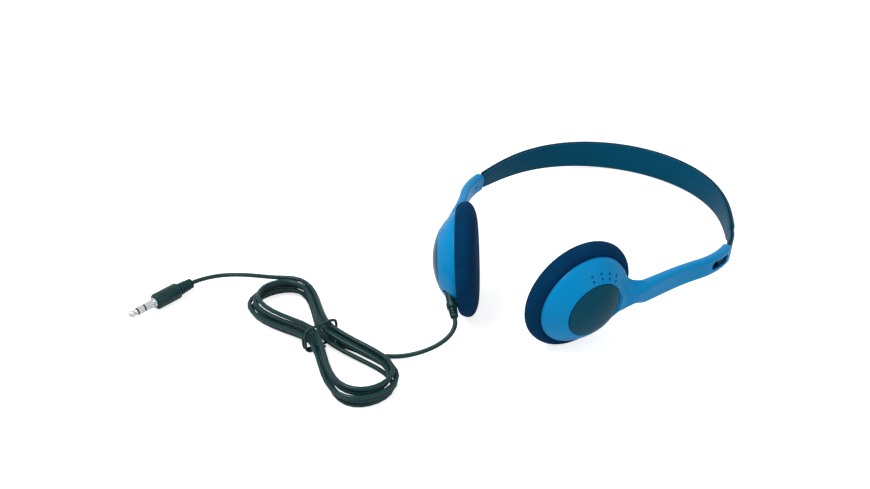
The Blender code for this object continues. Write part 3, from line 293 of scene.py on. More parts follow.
def arm_depth(p, hand):
    """Signed distance to the arm, negative inside it, for points in the arm's frame."""
    near = math.sqrt((SHELL_RADIUS + ARM_FILLET) ** 2 - (ARM_WIDTH / 2 + ARM_FILLET) ** 2)
    touch = near * SHELL_RADIUS / (SHELL_RADIUS + ARM_FILLET)
    twist = -hand * CUP_TOE * ease((ARM_STRAIGHT - p[:, 0]) / (ARM_STRAIGHT - near))
    y = p[:, 1] * np.cos(twist) - p[:, 2] * np.sin(twist)
    z = p[:, 1] * np.sin(twist) + p[:, 2] * np.cos(twist)
    x = p[:, 0]
    dx, dz = x - ARC_CENTRE.x, z - ARC_CENTRE.z
    arc = CUP_LEAN + ARM_ARC - np.arctan2(dx, dz)  # 0 at the mouth, ARM_ARC at the bend
    on_arc = arc < ARM_ARC
    straight_out = x * LEAN.x + z * LEAN.z - CUP_OFFSET
    straight_run = ARC_LENGTH + ARM_STRAIGHT - (x * BACK.x + z * BACK.z)
    out = np.where(on_arc, np.hypot(dx, dz) - SLIDER_RADIUS, straight_out)
    run = np.where(on_arc, arc * SLIDER_RADIUS, straight_run)
    flare = np.clip(near - x, 0, near - touch)
    grown = ARM_GROWTH * ease((ARM_STRAIGHT - x) / (ARM_STRAIGHT - near))
    wide = ARM_WIDTH / 2 + grown + ARM_FILLET - np.sqrt(ARM_FILLET ** 2 - flare ** 2)
    share = ease(flare / (near - touch))
    climb = np.clip(ARM_STRAIGHT - x, 0, None)
    rise = ARM_RISE * np.where(climb < RISE_START, climb ** 2 / (2 * RISE_START),
                               climb - RISE_START / 2)
    rise = rise - DIP * ease((DIP_START - x) / DIP_RUN)
    drop = share * (CUP_OFFSET + ARM_THICKNESS / 2 + rise - ROOT_SIDE)
    top = ARM_THICKNESS / 2 - drop * ease((np.abs(y) / wide - FLAT_SHARE) / (1 - FLAT_SHARE))
    under = UNDER_SHARE * rise - ARM_THICKNESS / 2
    body = round_max(np.abs(y) - wide, round_max(out - top - rise, under - out, 0.3 * MM), ARM_EDGE)
    mouth = -run - MOUTH_BULGE * (1 - (y / (ARM_WIDTH / 2)) ** 2)
    return round_max(round_max(body, mouth, MOUTH_EDGE), ARM_END - x, MOUTH_EDGE)


def shell_depth(p):
    """Signed distance to the shell's dome, for points in the cup's frame."""
    r, h = np.hypot(p[:, 0], p[:, 1]), p[:, 2]
    radii, heights = np.array(SHELL_SLOPE).T * MM
    slope = np.interp(r, radii, heights)
    bulge = DOME_TOP - DOME_DROP * np.clip((r - BULGE_START) / BULGE_RUN, 0, 1) ** BULGE_POWER
    flank = np.minimum(slope, bulge) * LOWER_SHARE + np.maximum(slope, bulge) * (1 - LOWER_SHARE)
    top = (h - np.where(r < LIP_RADIUS, DOME_TOP, flank)) * HEIGHT_SCALE
    return round_max(round_max(top, r - SHELL_RADIUS, SHELL_EDGE), -h, RIM_EDGE)


def moulding_depth(p, hand):
    """Signed distance to the arm and the shell together, for points in the arm's frame."""
    turn = np.array(Matrix.Rotation(-hand * CUP_TOE, 3, "X"))
    arm, shell = arm_depth(p, hand), shell_depth(p @ turn.T)
    return -round_max(-arm, -shell, ROOT_FILLET)


def surface_net(depth, low, high, cell):
    """A closed mesh of quads on the surface where a distance is zero."""
    probe = 0.01 * MM
    axes = [np.arange(a, b + cell, cell) for a, b in zip(low, high)]
    shape = [len(a) for a in axes]
    grid = np.stack(np.meshgrid(*axes, indexing="ij"), -1).reshape(-1, 3)
    value = np.concatenate([depth(part) for part in np.array_split(grid, 12)]).reshape(shape)
    inside = value < 0
    count = sum(inside[i:shape[0] - 1 + i, j:shape[1] - 1 + j, k:shape[2] - 1 + k].astype(int)
                for i in (0, 1) for j in (0, 1) for k in (0, 1))
    cells = np.argwhere((count > 0) & (count < 8))
    index = -np.ones([n - 1 for n in shape], int)
    index[tuple(cells.T)] = np.arange(len(cells))
    points = np.array(low) + (cells + 0.5) * cell
    quads = []
    for axis in range(3):
        a, b = [i for i in range(3) if i != axis]
        first = np.take(inside, range(shape[axis] - 1), axis)
        second = np.take(inside, range(1, shape[axis]), axis)
        for edge, flip in ((first & ~second, False), (~first & second, True)):
            spots = np.argwhere(edge)
            around = []
            for da, db in ((0, 0), (-1, 0), (-1, -1), (0, -1)):
                near = spots.copy()
                near[:, a] += da
                near[:, b] += db
                around.append(index[tuple(near.T)])
            ring = np.stack(around, 1)
            quads.append(ring[:, ::-1] if flip != (axis == 1) else ring)
    for _ in range(7):
        here = depth(points)
        slope = np.stack([depth(points + step) - here for step in np.eye(3) * probe], 1) / probe
        length = np.maximum((slope ** 2).sum(1), 0.04)
        points = points - slope * np.clip(here / length, -0.5 * cell, 0.5 * cell)[:, None]
    return points, np.concatenate(quads)


def cutter(name, build):
    """A plain piece from a function that fills a mesh."""
    work = bmesh.new()
    build(work)
    bmesh.ops.recalc_face_normals(work, faces=work.faces)
    mesh = bpy.data.meshes.new(name)
    work.to_mesh(mesh)
    work.free()
    piece = bpy.data.objects.new(name, mesh)
    bpy.context.collection.objects.link(piece)
    return piece


def turned(work, profile, place, steps=96):
    """Revolve (radius, height) points about Z into a closed shape, with both ends on the axis."""
    rings = []
    for r, h in profile:
        angles = [math.tau * i / steps for i in range(steps)] if r > 0 else [0.0]
        rings.append([work.verts.new(place @ Vector((r * math.cos(angle), r * math.sin(angle), h)))
                      for angle in angles])
    for a, b in zip(rings, rings[1:]):
        for i in range(steps):
            j = (i + 1) % steps
            corners = [a[i % len(a)], a[j % len(a)], b[j % len(b)], b[i % len(b)]]
            work.faces.new(list(dict.fromkeys(corners)))


def arc_slot(work, place, hand, start, end, width, low, high, round_ends=False):
    """A curved slot along the sleeve, between two distances from its mouth."""
    rings = []
    count = max(2, int((end - start) / (0.6 * MM)))
    for i in range(count + 1):
        run = start + (end - start) * i / count
        half = width / 2
        reach = min(run - start, end - run)
        if round_ends and reach <= half:
            half = math.sqrt(max(half ** 2 - (half - reach) ** 2, (0.2 * MM) ** 2))
        angle = CUP_LEAN + ARM_ARC - run / SLIDER_RADIUS
        normal = Vector((math.sin(angle), 0, math.cos(angle)))
        spot = ARC_CENTRE + SLIDER_RADIUS * normal
        rings.append([work.verts.new(place @ (spot + normal * out + Vector((0, hand * side, 0))))
                      for side, out in ((-half, low), (half, low), (half, high), (-half, high))])
    for a, b in zip(rings, rings[1:]):
        for i in range(4):
            work.faces.new((a[i], a[(i + 1) % 4], b[(i + 1) % 4], b[i]))
    work.faces.new(rings[0])
    work.faces.new(rings[-1])


GLAND_ANGLE, GLAND_TILT = math.radians(-150.0), math.radians(12.0)
GLAND_HEIGHT, GLAND_BORE = 2.7 * MM, 2.2 * MM


def gland_place(side):
    """The strain relief's frame: Z points out along the cable, from the shell's side."""
    angle = HAND[side] * GLAND_ANGLE
    turn = Matrix.Rotation(angle, 4, "Z") @ Matrix.Rotation(math.pi / 2 + GLAND_TILT, 4, "Y")
    spot = Vector((SHELL_RADIUS * math.cos(angle), SHELL_RADIUS * math.sin(angle), GLAND_HEIGHT))
    return cup_place(side) @ Matrix.Translation(spot) @ turn


blue_plastic = plastic("moulded blue", (0.0, 0.256, 0.585), roughness=0.30, grain=1900.0,
                       grain_depth=0.006 * MM, variation=0.025, gloss=0.08)

# The vents are bored in two rows beside the cap, along a ring about the cup's axis. One tree sets
# the drills, and its sizes are inputs, so that both cups use it.
VENT_SIZES = {"Rows": 2, "Vents In Row": 4, "First Row": 14.4 * MM, "Row Spacing": 1.7 * MM,
              "Height": 4.8 * MM, "Drill Radius": 0.52 * MM, "Drill Length": 9.0 * MM}
VENT_MIDDLE, VENT_STEP = math.radians(80.0), math.radians(16.0)
vent_rows = bpy.data.node_groups.new("vent rows", "GeometryNodeTree")
vent_rows.interface.new_socket("Geometry", in_out="OUTPUT", socket_type="NodeSocketGeometry")
for label in (*VENT_SIZES, "Middle Angle", "Angle Step"):
    whole = isinstance(VENT_SIZES.get(label), int)
    vent_rows.interface.new_socket(label, in_out="INPUT",
                                   socket_type="NodeSocketInt" if whole else "NodeSocketFloat")
given = vent_rows.nodes.new("NodeGroupInput").outputs


def vent_maths(operation, first, second):
    """One step of the vents' places: each side is a socket or a number."""
    step = vent_rows.nodes.new("ShaderNodeMath")
    step.operation = operation
    for socket, value in zip(step.inputs, (first, second)):
        if isinstance(value, bpy.types.NodeSocket):
            vent_rows.links.new(value, socket)
        else:
            socket.default_value = value
    return step.outputs[0]


number = vent_rows.nodes.new("GeometryNodeInputIndex").outputs[0]
row = vent_maths("FLOOR", vent_maths("DIVIDE", number, given["Vents In Row"]), 0.0)
in_row = vent_maths("SUBTRACT", number, vent_maths("MULTIPLY", row, given["Vents In Row"]))
half_row = vent_maths("DIVIDE", vent_maths("SUBTRACT", given["Vents In Row"], 1.0), 2.0)
turned_by = vent_maths("MULTIPLY", vent_maths("SUBTRACT", in_row, half_row), given["Angle Step"])
vent_angle = vent_maths("ADD", turned_by, given["Middle Angle"])
row_offset = vent_maths("MULTIPLY", row, given["Row Spacing"])
ring_radius = vent_maths("ADD", given["First Row"], row_offset)
vent_spot = vent_rows.nodes.new("ShaderNodeCombineXYZ")
for axis, wave in (("X", "COSINE"), ("Y", "SINE")):
    vent_rows.links.new(vent_maths("MULTIPLY", ring_radius, vent_maths(wave, vent_angle, 0.0)),
                        vent_spot.inputs[axis])
vent_rows.links.new(given["Height"], vent_spot.inputs["Z"])
vent_points = vent_rows.nodes.new("GeometryNodePoints")
vent_count = vent_maths("MULTIPLY", given["Rows"], given["Vents In Row"])
vent_rows.links.new(vent_count, vent_points.inputs["Count"])
vent_rows.links.new(vent_spot.outputs[0], vent_points.inputs["Position"])
drill = vent_rows.nodes.new("GeometryNodeMeshCylinder")
drill.inputs["Vertices"].default_value = 24
vent_rows.links.new(given["Drill Radius"], drill.inputs["Radius"])
vent_rows.links.new(given["Drill Length"], drill.inputs["Depth"])
set_drills = vent_rows.nodes.new("GeometryNodeInstanceOnPoints")
vent_rows.links.new(vent_points.outputs[0], set_drills.inputs["Points"])
vent_rows.links.new(drill.outputs["Mesh"], set_drills.inputs["Instance"])
realized = vent_rows.nodes.new("GeometryNodeRealizeInstances")
vent_rows.links.new(set_drills.outputs[0], realized.inputs[0])
finished = vent_rows.nodes.new("GeometryNodeSetMaterial")
finished.inputs["Material"].default_value = blue_plastic
vent_rows.links.new(realized.outputs[0], finished.inputs["Geometry"])
vent_rows.links.new(finished.outputs[0], vent_rows.nodes.new("NodeGroupOutput").inputs[0])


def vent_drills(side):
    """The drills of one cup's vents as a plain mesh, at the cup's place."""
    mesh = bpy.data.meshes.new(side + "_vents")
    drills = bpy.data.objects.new(mesh.name, mesh)
    bpy.context.collection.objects.link(drills)
    rows = drills.modifiers.new("vent rows", "NODES")
    rows.node_group = vent_rows
    sizes = {**VENT_SIZES, "Middle Angle": HAND[side] * VENT_MIDDLE,
             "Angle Step": HAND[side] * VENT_STEP}
    for socket in vent_rows.interface.items_tree:
        if socket.name in sizes:
            rows[socket.identifier] = sizes[socket.name]
    graph = bpy.context.evaluated_depsgraph_get()
    plain = bpy.data.meshes.new_from_object(drills.evaluated_get(graph), depsgraph=graph)
    drills.modifiers.clear()
    drills.data = plain
    plain.transform(cup_place(side))
    return drills


# The moulding is hollow: the driver's chamber under a wall of about 1.3 mm, the cap's seat, the
# sleeve with its narrower throat, the slot that shows the tongue, and a small mark opposite it.
CELL = 0.36 * MM
CAP_SEAT = SHELL_TOP - 0.6 * MM
CHAMBER_TOP, CHAMBER_RADIUS = CAP_SEAT - 1.2 * MM, SHELL_RADIUS - 1.5 * MM
RECESS_RADIUS, RECESS_BEVEL = CAP_RADIUS + 0.3 * MM, 0.12 * MM
PLAY = 0.6 * MM  # of the tongue in the sleeve, both sides together
SLEEVE_DEPTH, SLEEVE_HALF = TONGUE_END - MOUTH_OFFSET + PLAY, 1.35 * MM
THROAT_LENGTH, SLEEVE_START = 4.0 * MM, 3.0 * MM
WINDOW_START, WINDOW_END, WINDOW_WIDTH = 3.0 * MM, 17.0 * MM, 4.0 * MM
MARK_START, MARK_END, MARK_WIDTH, MARK_DEPTH = 5.5 * MM, 8.9 * MM, 1.5 * MM, 0.35 * MM
for side in ("left", "right"):
    hand = HAND[side]
    arm, cup = arm_place(side), cup_place(side)
    low = (-SHELL_RADIUS - MM, -SHELL_RADIUS - 1.5 * MM, -10.5 * MM)
    high = (ARM_STRAIGHT + 26 * MM, SHELL_RADIUS + 1.5 * MM, 11 * MM)
    points, quads = surface_net(lambda p: moulding_depth(p, hand), low, high, CELL)
    mesh = bpy.data.meshes.new(side + "_arm_and_shell")
    mesh.from_pydata([arm @ Vector(p) for p in points], [], quads.tolist())
    mesh.shade_smooth()
    moulding = bpy.data.objects.new(mesh.name, mesh)
    bpy.context.collection.objects.link(moulding)

    def chamber(work):
        turned(work, [(0, -2 * MM), (CHAMBER_RADIUS, -2 * MM), (CHAMBER_RADIUS, 1.2 * MM),
                      (17.4 * MM, 2.1 * MM), (13.6 * MM, 4.75 * MM), (11 * MM, CHAMBER_TOP),
                      (0, CHAMBER_TOP)], cup)

    def cap_seat(work):
        turned(work, [(0, CAP_SEAT), (RECESS_RADIUS, CAP_SEAT),
                      (RECESS_RADIUS, SHELL_TOP - RECESS_BEVEL),
                      (RECESS_RADIUS + RECESS_BEVEL, SHELL_TOP),
                      (RECESS_RADIUS + 3 * MM, SHELL_TOP + 2 * MM), (0, SHELL_TOP + 4 * MM)], cup)

    def throat(work):
        arc_slot(work, arm, hand, -THROAT_LENGTH, THROAT_LENGTH, TONGUE_WIDTH + PLAY,
                 -SLEEVE_HALF, SLEEVE_HALF)

    def sleeve(work):
        arc_slot(work, arm, hand, SLEEVE_START, SLEEVE_DEPTH, TIP_WIDTH + PLAY,
                 -SLEEVE_HALF, SLEEVE_HALF)

    def window(work):
        arc_slot(work, arm, hand, WINDOW_START, WINDOW_END, WINDOW_WIDTH,
                 0.5 * MM, ARM_THICKNESS, round_ends=True)

    def mark(work):
        arc_slot(work, arm, hand, MARK_START, MARK_END, MARK_WIDTH,
                 -ARM_THICKNESS, -ARM_THICKNESS / 2 + MARK_DEPTH, round_ends=True)

    def gland_hole(work):
        bmesh.ops.create_cone(work, cap_ends=True, segments=48, radius1=GLAND_BORE,
                              radius2=GLAND_BORE, depth=20 * MM, matrix=gland_place(side))

    cuts = [throat, sleeve, window, mark] + ([gland_hole] if side == "left" else [])
    tools = [cutter(side + "_chamber", chamber), cutter(side + "_cap_seat", cap_seat),
             vent_drills(side)]
    tools += [cutter(side + "_" + build.__name__, build) for build in cuts]
    for tool in tools:
        boolean = moulding.modifiers.new(tool.name, "BOOLEAN")
        boolean.object, boolean.operation, boolean.solver = tool, "DIFFERENCE", "MANIFOLD"
    graph = bpy.context.evaluated_depsgraph_get()
    done = bpy.data.meshes.new_from_object(moulding.evaluated_get(graph), depsgraph=graph)
    moulding.modifiers.clear()
    moulding.data = done
    done.name = side + "_arm_and_shell"
    for tool in tools:
        bpy.data.objects.remove(tool, do_unlink=True)
    done.shade_smooth()
    done.set_sharp_from_angle(angle=math.radians(32))
    done.materials.clear()
    done.materials.append(blue_plastic)
    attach(moulding, side + "_cup")
    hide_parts(side + "_arm_shell")


# The caps: a low dome of glossy dark teal plastic for each cup, pressed into the recess in the
# shell's middle, which leaves a fine groove round it.
CAP_RISE, CAP_EDGE = 2.8 * MM, 8.1 * MM
CAP_SKIRT = 0.5 * MM


def turned_piece(name, profile, place, steps=128, sharp=35):
    """A smooth piece revolved about its place's Z axis; edges over the sharp angle stay crisp."""
    def build(work):
        turned(work, profile, place, steps)

    piece = cutter(name, build)
    piece.data.shade_smooth()
    piece.data.set_sharp_from_angle(angle=math.radians(sharp))
    return piece


cap_gloss = plastic("cap gloss", (0.0, 0.066, 0.112), roughness=0.16, grain=400.0,
                    grain_depth=0.0005 * MM, variation=0.06, coat=0.03)
cap_ball = (CAP_RADIUS ** 2 + CAP_RISE ** 2) / (2 * CAP_RISE)
cap_half = math.asin(CAP_RADIUS / cap_ball)
cap_dome = [(cap_ball * math.sin(cap_half * i / 24),
             CAP_EDGE + CAP_RISE - cap_ball * (1 - math.cos(cap_half * i / 24))) for i in range(24)]
cap_profile = [(0, CAP_EDGE - CAP_SKIRT), (CAP_RADIUS, CAP_EDGE - CAP_SKIRT),
               (CAP_RADIUS, CAP_EDGE - 0.14 * MM), (CAP_RADIUS - 0.05 * MM, CAP_EDGE - 0.02 * MM)]
cap_profile += cap_dome[::-1]
for side in ("left", "right"):
    cap = turned_piece(side + "_cap", cap_profile, cup_place(side))
    cap.data.materials.append(cap_gloss)
    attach(cap, side + "_cup")
    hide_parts(side + "_cap_dome")


# The ear pads: discs of open-cell navy foam, whose lips grip the baffle behind the shell's rim.
# Their fronts are softly rounded, and their lowest edges are pressed flat on the table.
PAD_RADIUS, PAD_HEIGHT, PAD_WIDEST, PAD_SHOULDER = 25.0 * MM, 8.6 * MM, 4.2 * MM, 8.5 * MM
PAD_LIP_TOP, PAD_LIP_INNER, PAD_LIP_WIDTH = 0.1 * MM, SHELL_RADIUS + 0.08 * MM, 0.9 * MM
GRIP_RADIUS, GRIP_LOW, GRIP_HIGH = 22.7 * MM, -2.5 * MM, -0.5 * MM  # the groove for the baffle
FRONT_BULGE = 0.25 * MM
PRESS_FROM, PRESS_DEPTH = 0.15 * MM, 0.13 * MM  # foam lower than this is squashed on the table


def foam(name, colour):
    """Fine open cells: small pits in the surface, with painted shade that darkens their bottoms."""
    made = bpy.data.materials.new(name)
    made.use_nodes = True
    nodes, links = made.node_tree.nodes, made.node_tree.links
    shader = nodes["Principled BSDF"]
    place = nodes.new("ShaderNodeTexCoord")
    cells = nodes.new("ShaderNodeTexVoronoi")
    cells.inputs["Scale"].default_value = 2400.0
    links.new(place.outputs["Object"], cells.inputs["Vector"])
    cloud = nodes.new("ShaderNodeTexNoise")
    cloud.inputs["Scale"].default_value = 160.0
    cloud.inputs["Detail"].default_value = 5.0
    links.new(place.outputs["Object"], cloud.inputs["Vector"])
    mix = nodes.new("ShaderNodeMath")
    mix.operation = "MULTIPLY_ADD"
    mix.inputs[1].default_value = 0.55
    links.new(cells.outputs["Distance"], mix.inputs[0])
    links.new(cloud.outputs["Fac"], mix.inputs[2])
    # The colour darkens with the pits' depth, as painted shade in them, and varies at random with
    # the clouds.
    tone = nodes.new("ShaderNodeValToRGB")
    tone.color_ramp.elements[0].position, tone.color_ramp.elements[1].position = 0.35, 1.0
    tone.color_ramp.elements[0].color = (*[c * 0.78 for c in colour], 1)
    tone.color_ramp.elements[1].color = (*[c * 1.18 for c in colour], 1)
    links.new(mix.outputs[0], tone.inputs["Fac"])
    links.new(tone.outputs["Color"], shader.inputs["Base Color"])
    bump = nodes.new("ShaderNodeBump")
    bump.inputs["Strength"].default_value = 0.9
    bump.inputs["Distance"].default_value = 0.10 * MM
    links.new(mix.outputs[0], bump.inputs["Height"])
    links.new(bump.outputs["Normal"], shader.inputs["Normal"])
    shader.inputs["Roughness"].default_value = 0.95
    shader.inputs["Specular IOR Level"].default_value = 0.08
    return made


navy_foam = foam("navy foam", (0.0, 0.031, 0.092))
lip_outer = PAD_LIP_INNER + PAD_LIP_WIDTH
pad_profile = [(0, GRIP_LOW), (GRIP_RADIUS, GRIP_LOW), (GRIP_RADIUS, GRIP_HIGH),
               (PAD_LIP_INNER, GRIP_HIGH), (PAD_LIP_INNER, PAD_LIP_TOP - 0.2 * MM),
               (PAD_LIP_INNER + 0.25 * MM, PAD_LIP_TOP)]
for i in range(1, 17):
    angle = math.pi / 2 * (1 - i / 16)
    pad_profile.append((lip_outer + (PAD_RADIUS - lip_outer) * math.cos(angle),
                        -PAD_WIDEST + (PAD_WIDEST + PAD_LIP_TOP) * math.sin(angle)))
for i in range(1, 19):
    angle = math.pi / 2 * i / 18
    pad_profile.append((PAD_RADIUS - PAD_SHOULDER + PAD_SHOULDER * math.cos(angle),
                        -PAD_WIDEST - (PAD_HEIGHT - PAD_WIDEST) * math.sin(angle)))
for i in range(1, 9):
    pad_profile.append(((PAD_RADIUS - PAD_SHOULDER) * (1 - i / 8),
                        -PAD_HEIGHT - FRONT_BULGE * math.sin(math.pi / 2 * i / 8)))
for side in ("left", "right"):
    pad = turned_piece(side + "_foam_pad", pad_profile, cup_place(side), steps=144, sharp=60)
    for vertex in pad.data.vertices:
        if vertex.co.z < PRESS_FROM:
            squash = math.exp((vertex.co.z - PRESS_FROM) / PRESS_DEPTH)
            vertex.co.z = PRESS_FROM - PRESS_DEPTH + PRESS_DEPTH * squash
    pad.data.materials.append(navy_foam)
    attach(pad, side + "_cup")
    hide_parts(side + "_ear_pad")


# The cable: 2 mm thick, with a dark green sheath, in one length. It runs from the strain relief
# down to the table and along it to the hank, round the hank's loops, which are laid back and forth
# in a figure of eight, and out of its far end to the plug's boot.
CABLE_RADIUS = 1.0 * MM
HANK_START, HANK_END, HANK_REVERSALS = 0.30, 5.5, (1.5, 3.0, 4.5)
SHIFT = Vector((0.192, 88.067, 0)) * MM
HANK = (Matrix.Translation(SHIFT + Vector((-82.0, -204.5, 0)) * MM)
        @ Matrix.Rotation(math.radians(147.5), 4, "Z"))
STRAND_STEP = 2 * CABLE_RADIUS + 0.5 * MM  # from one turn to the next, across and upwards
HANK_HALF, HANK_BELLY, HANK_FAN = 46.0 * MM, 11.6 * MM, 0.5 * MM
WAIST_LIFT, WAIST_RUN = 1.5 * MM, 14.0 * MM  # where the two sides cross inside the tie


def hank_point(turns):
    """A point of the hank after some turns; each reversal starts the next layer on the last."""
    level = 3.0 - sum(float(ease((turns - r) / 0.5 + 0.5)) for r in HANK_REVERSALS)
    angle = math.tau * (turns - 0.25)
    c, s = math.cos(angle), math.sin(angle)
    inset, last, way = 0.0, HANK_START, 1.0
    for reversal in HANK_REVERSALS + (HANK_END + 1,):
        inset += way * (min(turns, reversal) - last)
        if turns <= reversal:
            break
        last, way = reversal, -way
    inset *= STRAND_STEP
    fan = HANK_FAN * level * c * c
    waist = STRAND_STEP / 2 + 1.12 * ((HANK_REVERSALS[0] - HANK_START) * STRAND_STEP - inset)
    belly = HANK_BELLY - 0.36 * inset - 1.6 * fan
    x = (HANK_HALF - inset - fan) * c
    y = -s * (waist + 2.32 * belly * (c * c + 0.004) ** 0.75)
    lift = WAIST_LIFT * math.exp(-(x / WAIST_RUN) ** 2)
    return Vector((x, y, CABLE_RADIUS + lift + STRAND_STEP * level))


def smooth_route(points, spacing):
    """Points at an even spacing on a smooth curve through the given ones."""
    ends = [2 * points[0] - points[1]] + list(points) + [2 * points[-1] - points[-2]]
    fine = []
    for a, b, c, d in zip(ends, ends[1:], ends[2:], ends[3:]):
        for step in range(20):
            t = step / 20
            fine.append(0.5 * (2 * b + (c - a) * t + (2 * a - 5 * b + 4 * c - d) * t * t
                               + (3 * b - a - 3 * c + d) * t ** 3))
    fine.append(points[-1])
    total = sum((b - a).length for a, b in zip(fine, fine[1:]))
    count = max(2, round(total / spacing))
    route, walked, target = [fine[0]], 0.0, total / count
    for a, b in zip(fine, fine[1:]):
        length = (b - a).length
        while walked + length >= target and len(route) < count:
            route.append(a.lerp(b, (target - walked) / length))
            target += total / count
        walked += length
    return route + [fine[-1]]


PLUG_WAY = Vector((-0.33, -0.944, 0)).normalized()
PLUG_BACK = SHIFT + Vector((-157.3, -197.8, 3.7)) * MM
BOOT_LENGTH, GLAND_LENGTH = 7.6 * MM, 8.6 * MM
ROUTE_STEP = 2.0 * MM
gland = gland_place("left")
gland_way = (gland.to_3x3() @ Vector((0, 0, 1))).normalized()
gland_tip = gland @ Vector((0, 0, GLAND_LENGTH))
hank_line = [HANK @ hank_point(HANK_START + (HANK_END - HANK_START) * i / 250) for i in range(251)]
hank_in = (hank_line[-2] - hank_line[-1]).normalized()
hank_out = (hank_line[0] - hank_line[1]).normalized()
lead = interpolate_bezier(gland_tip + gland_way * 0.3 * MM, gland_tip + gland_way * 11 * MM,
                          SHIFT + Vector((-40.6, -196.0, 1.3)) * MM,
                          SHIFT + Vector((-52.0, -199.8, 1.1)) * MM, 14)
lead += [SHIFT + Vector(p) * MM for p in ((-58.3, -201.9, 1.1), (-64.3, -202.7, 1.5),
                                          (-70.2, -202.7, 2.0), (-74.5, -202.9, 2.3))]
lead += [hank_line[-1] - hank_in * 3.2 * MM, hank_line[-1] - hank_in * 2 * MM]
boot_end = PLUG_BACK - PLUG_WAY * BOOT_LENGTH
tail = interpolate_bezier(hank_line[0] + hank_out * 2 * MM,
                          SHIFT + Vector((-127.0, -175.5, 5.0)) * MM,
                          SHIFT + Vector((-147.5, -170.5, 1.6)) * MM,
                          boot_end - PLUG_WAY * 0.3 * MM, 18)
route = smooth_route(lead, ROUTE_STEP) + hank_line[::-1] + smooth_route(tail, ROUTE_STEP)


def tube(name, points, radius, sides=6):
    """A round cord along a line of points."""
    curve = bpy.data.curves.new(name, "CURVE")
    curve.dimensions = "3D"
    spline = curve.splines.new("POLY")
    spline.points.add(len(points) - 1)
    for spot, point in zip(spline.points, points):
        spot.co = (*point, 1)
    spline.use_smooth = True
    curve.bevel_depth = radius
    curve.bevel_resolution = sides - 2
    curve.use_fill_caps = True
    piece = bpy.data.objects.new(name, curve)
    bpy.context.collection.objects.link(piece)
    return piece


sheath = plastic("cable sheath", (0.0, 0.031, 0.034), roughness=0.34, grain=900.0,
                 grain_depth=0.010 * MM, variation=0.10, gloss=0.25)
cable = tube("cable", route, CABLE_RADIUS)
cable.data.materials.append(sheath)
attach(cable, "left_cup")
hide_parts("cable_lead", "cable_hank", "cable_tail")


# The hank's tie: a soft wire, sheathed in the same green, that is wound a little more than once
# round the waist. It lies round the bundle as a rounded square, and its ends stay beside it.
TIE_RADIUS, TIE_GAP = 0.6 * MM, 1.9 * MM  # the gap is from the strands' middles to the tie's
TIE_TURNS, TIE_START, TIE_SPREAD = 1.3, math.radians(100), 2.6 * MM
TIE_SQUARE = 5
strands = [HANK.inverted() @ p for p in smooth_route(hank_line, 0.5 * MM)]
inside = [p for p in strands if abs(p.x) < TIE_GAP]
tie_half = max(abs(p.y) for p in inside) + TIE_GAP
tie_top = max(p.z for p in inside) + TIE_GAP
tie_middle, tie_height = (TIE_RADIUS + tie_top) / 2, (tie_top - TIE_RADIUS) / 2
tie_line = []
for i in range(141):
    angle = math.tau * TIE_TURNS * i / 140 - TIE_START
    c, s = math.cos(angle), math.sin(angle)
    square = (abs(c) ** TIE_SQUARE + abs(s) ** TIE_SQUARE) ** (1 / TIE_SQUARE)
    tie_line.append(HANK @ Vector(((i / 140 - 0.5) * TIE_SPREAD, tie_half * c / square,
                                   tie_middle + tie_height * s / square)))
tie = tube("tie", tie_line, TIE_RADIUS)
tie.data.materials.append(sheath)
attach(tie, "left_cup")
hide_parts("hank_tie")


# The strain relief: a soft green sleeve, moulded on the cable and pushed into the left shell's
# side. Outside its collar it goes down to the cable in three ribs. Radius and height are in mm.
gland_profile = [(0, -4.4), (1.9, -4.4), (1.9, 0.9), (2.3, 1.25), (2.3, 3.5), (2.15, 3.75),
                 (1.5, 3.95), (1.5, 4.3), (1.9, 4.45), (1.9, 5.2), (1.5, 5.35),
                 (1.5, 5.65), (1.85, 5.8), (1.85, 6.5), (1.45, 6.65),
                 (1.45, 6.95), (1.75, 7.1), (1.75, 7.9), (1.5, 8.3), (1.15, 8.55),
                 (0.9, 8.6), (0, 8.6)]
relief = turned_piece("strain_relief", [(r * MM, h * MM) for r, h in gland_profile], gland,
                      steps=48)
relief.data.materials.append(sheath)
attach(relief, "left_cup")
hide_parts("cable_gland")


# The plug: a moulded grip with a boot of five ribs that thin out toward the cable, and three
# chromed contacts with thin black rings between them. Its outlines are radii and heights in mm.
RIB_PITCH, RIB_RADIUS, RIB_TAPER = 1.52, 2.8, 0.11
RIB_BEVEL, RIB_GROOVE = 0.12, 0.40
plug_place = Matrix.Translation(PLUG_BACK) @ PLUG_WAY.to_track_quat("Z", "Y").to_matrix().to_4x4()
grip_profile = [(0, -BOOT_LENGTH / MM)]
for i in range(4, -1, -1):
    start, radius = -i * RIB_PITCH, RIB_RADIUS - RIB_TAPER * i
    grip_profile += [(radius - RIB_BEVEL, start - 1.48), (radius, start - 1.38),
                     (radius, start - 0.68), (radius - RIB_BEVEL, start - 0.56),
                     (radius - RIB_GROOVE, start - 0.44), (radius - RIB_GROOVE, start - 0.10)]
grip_profile += [(2.9, 0.0), (3.12, 0.04), (3.62, 0.52), (3.7, 0.8), (3.7, 12.2), (3.64, 12.5),
                 (3.4, 12.78), (3.05, 12.95), (2.8, 13.0), (0, 13.0)]
grip = turned_piece("plug_grip", [(r * MM, h * MM) for r, h in grip_profile], plug_place, steps=64)
grip.data.materials.append(sheath)
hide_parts("plug_body")


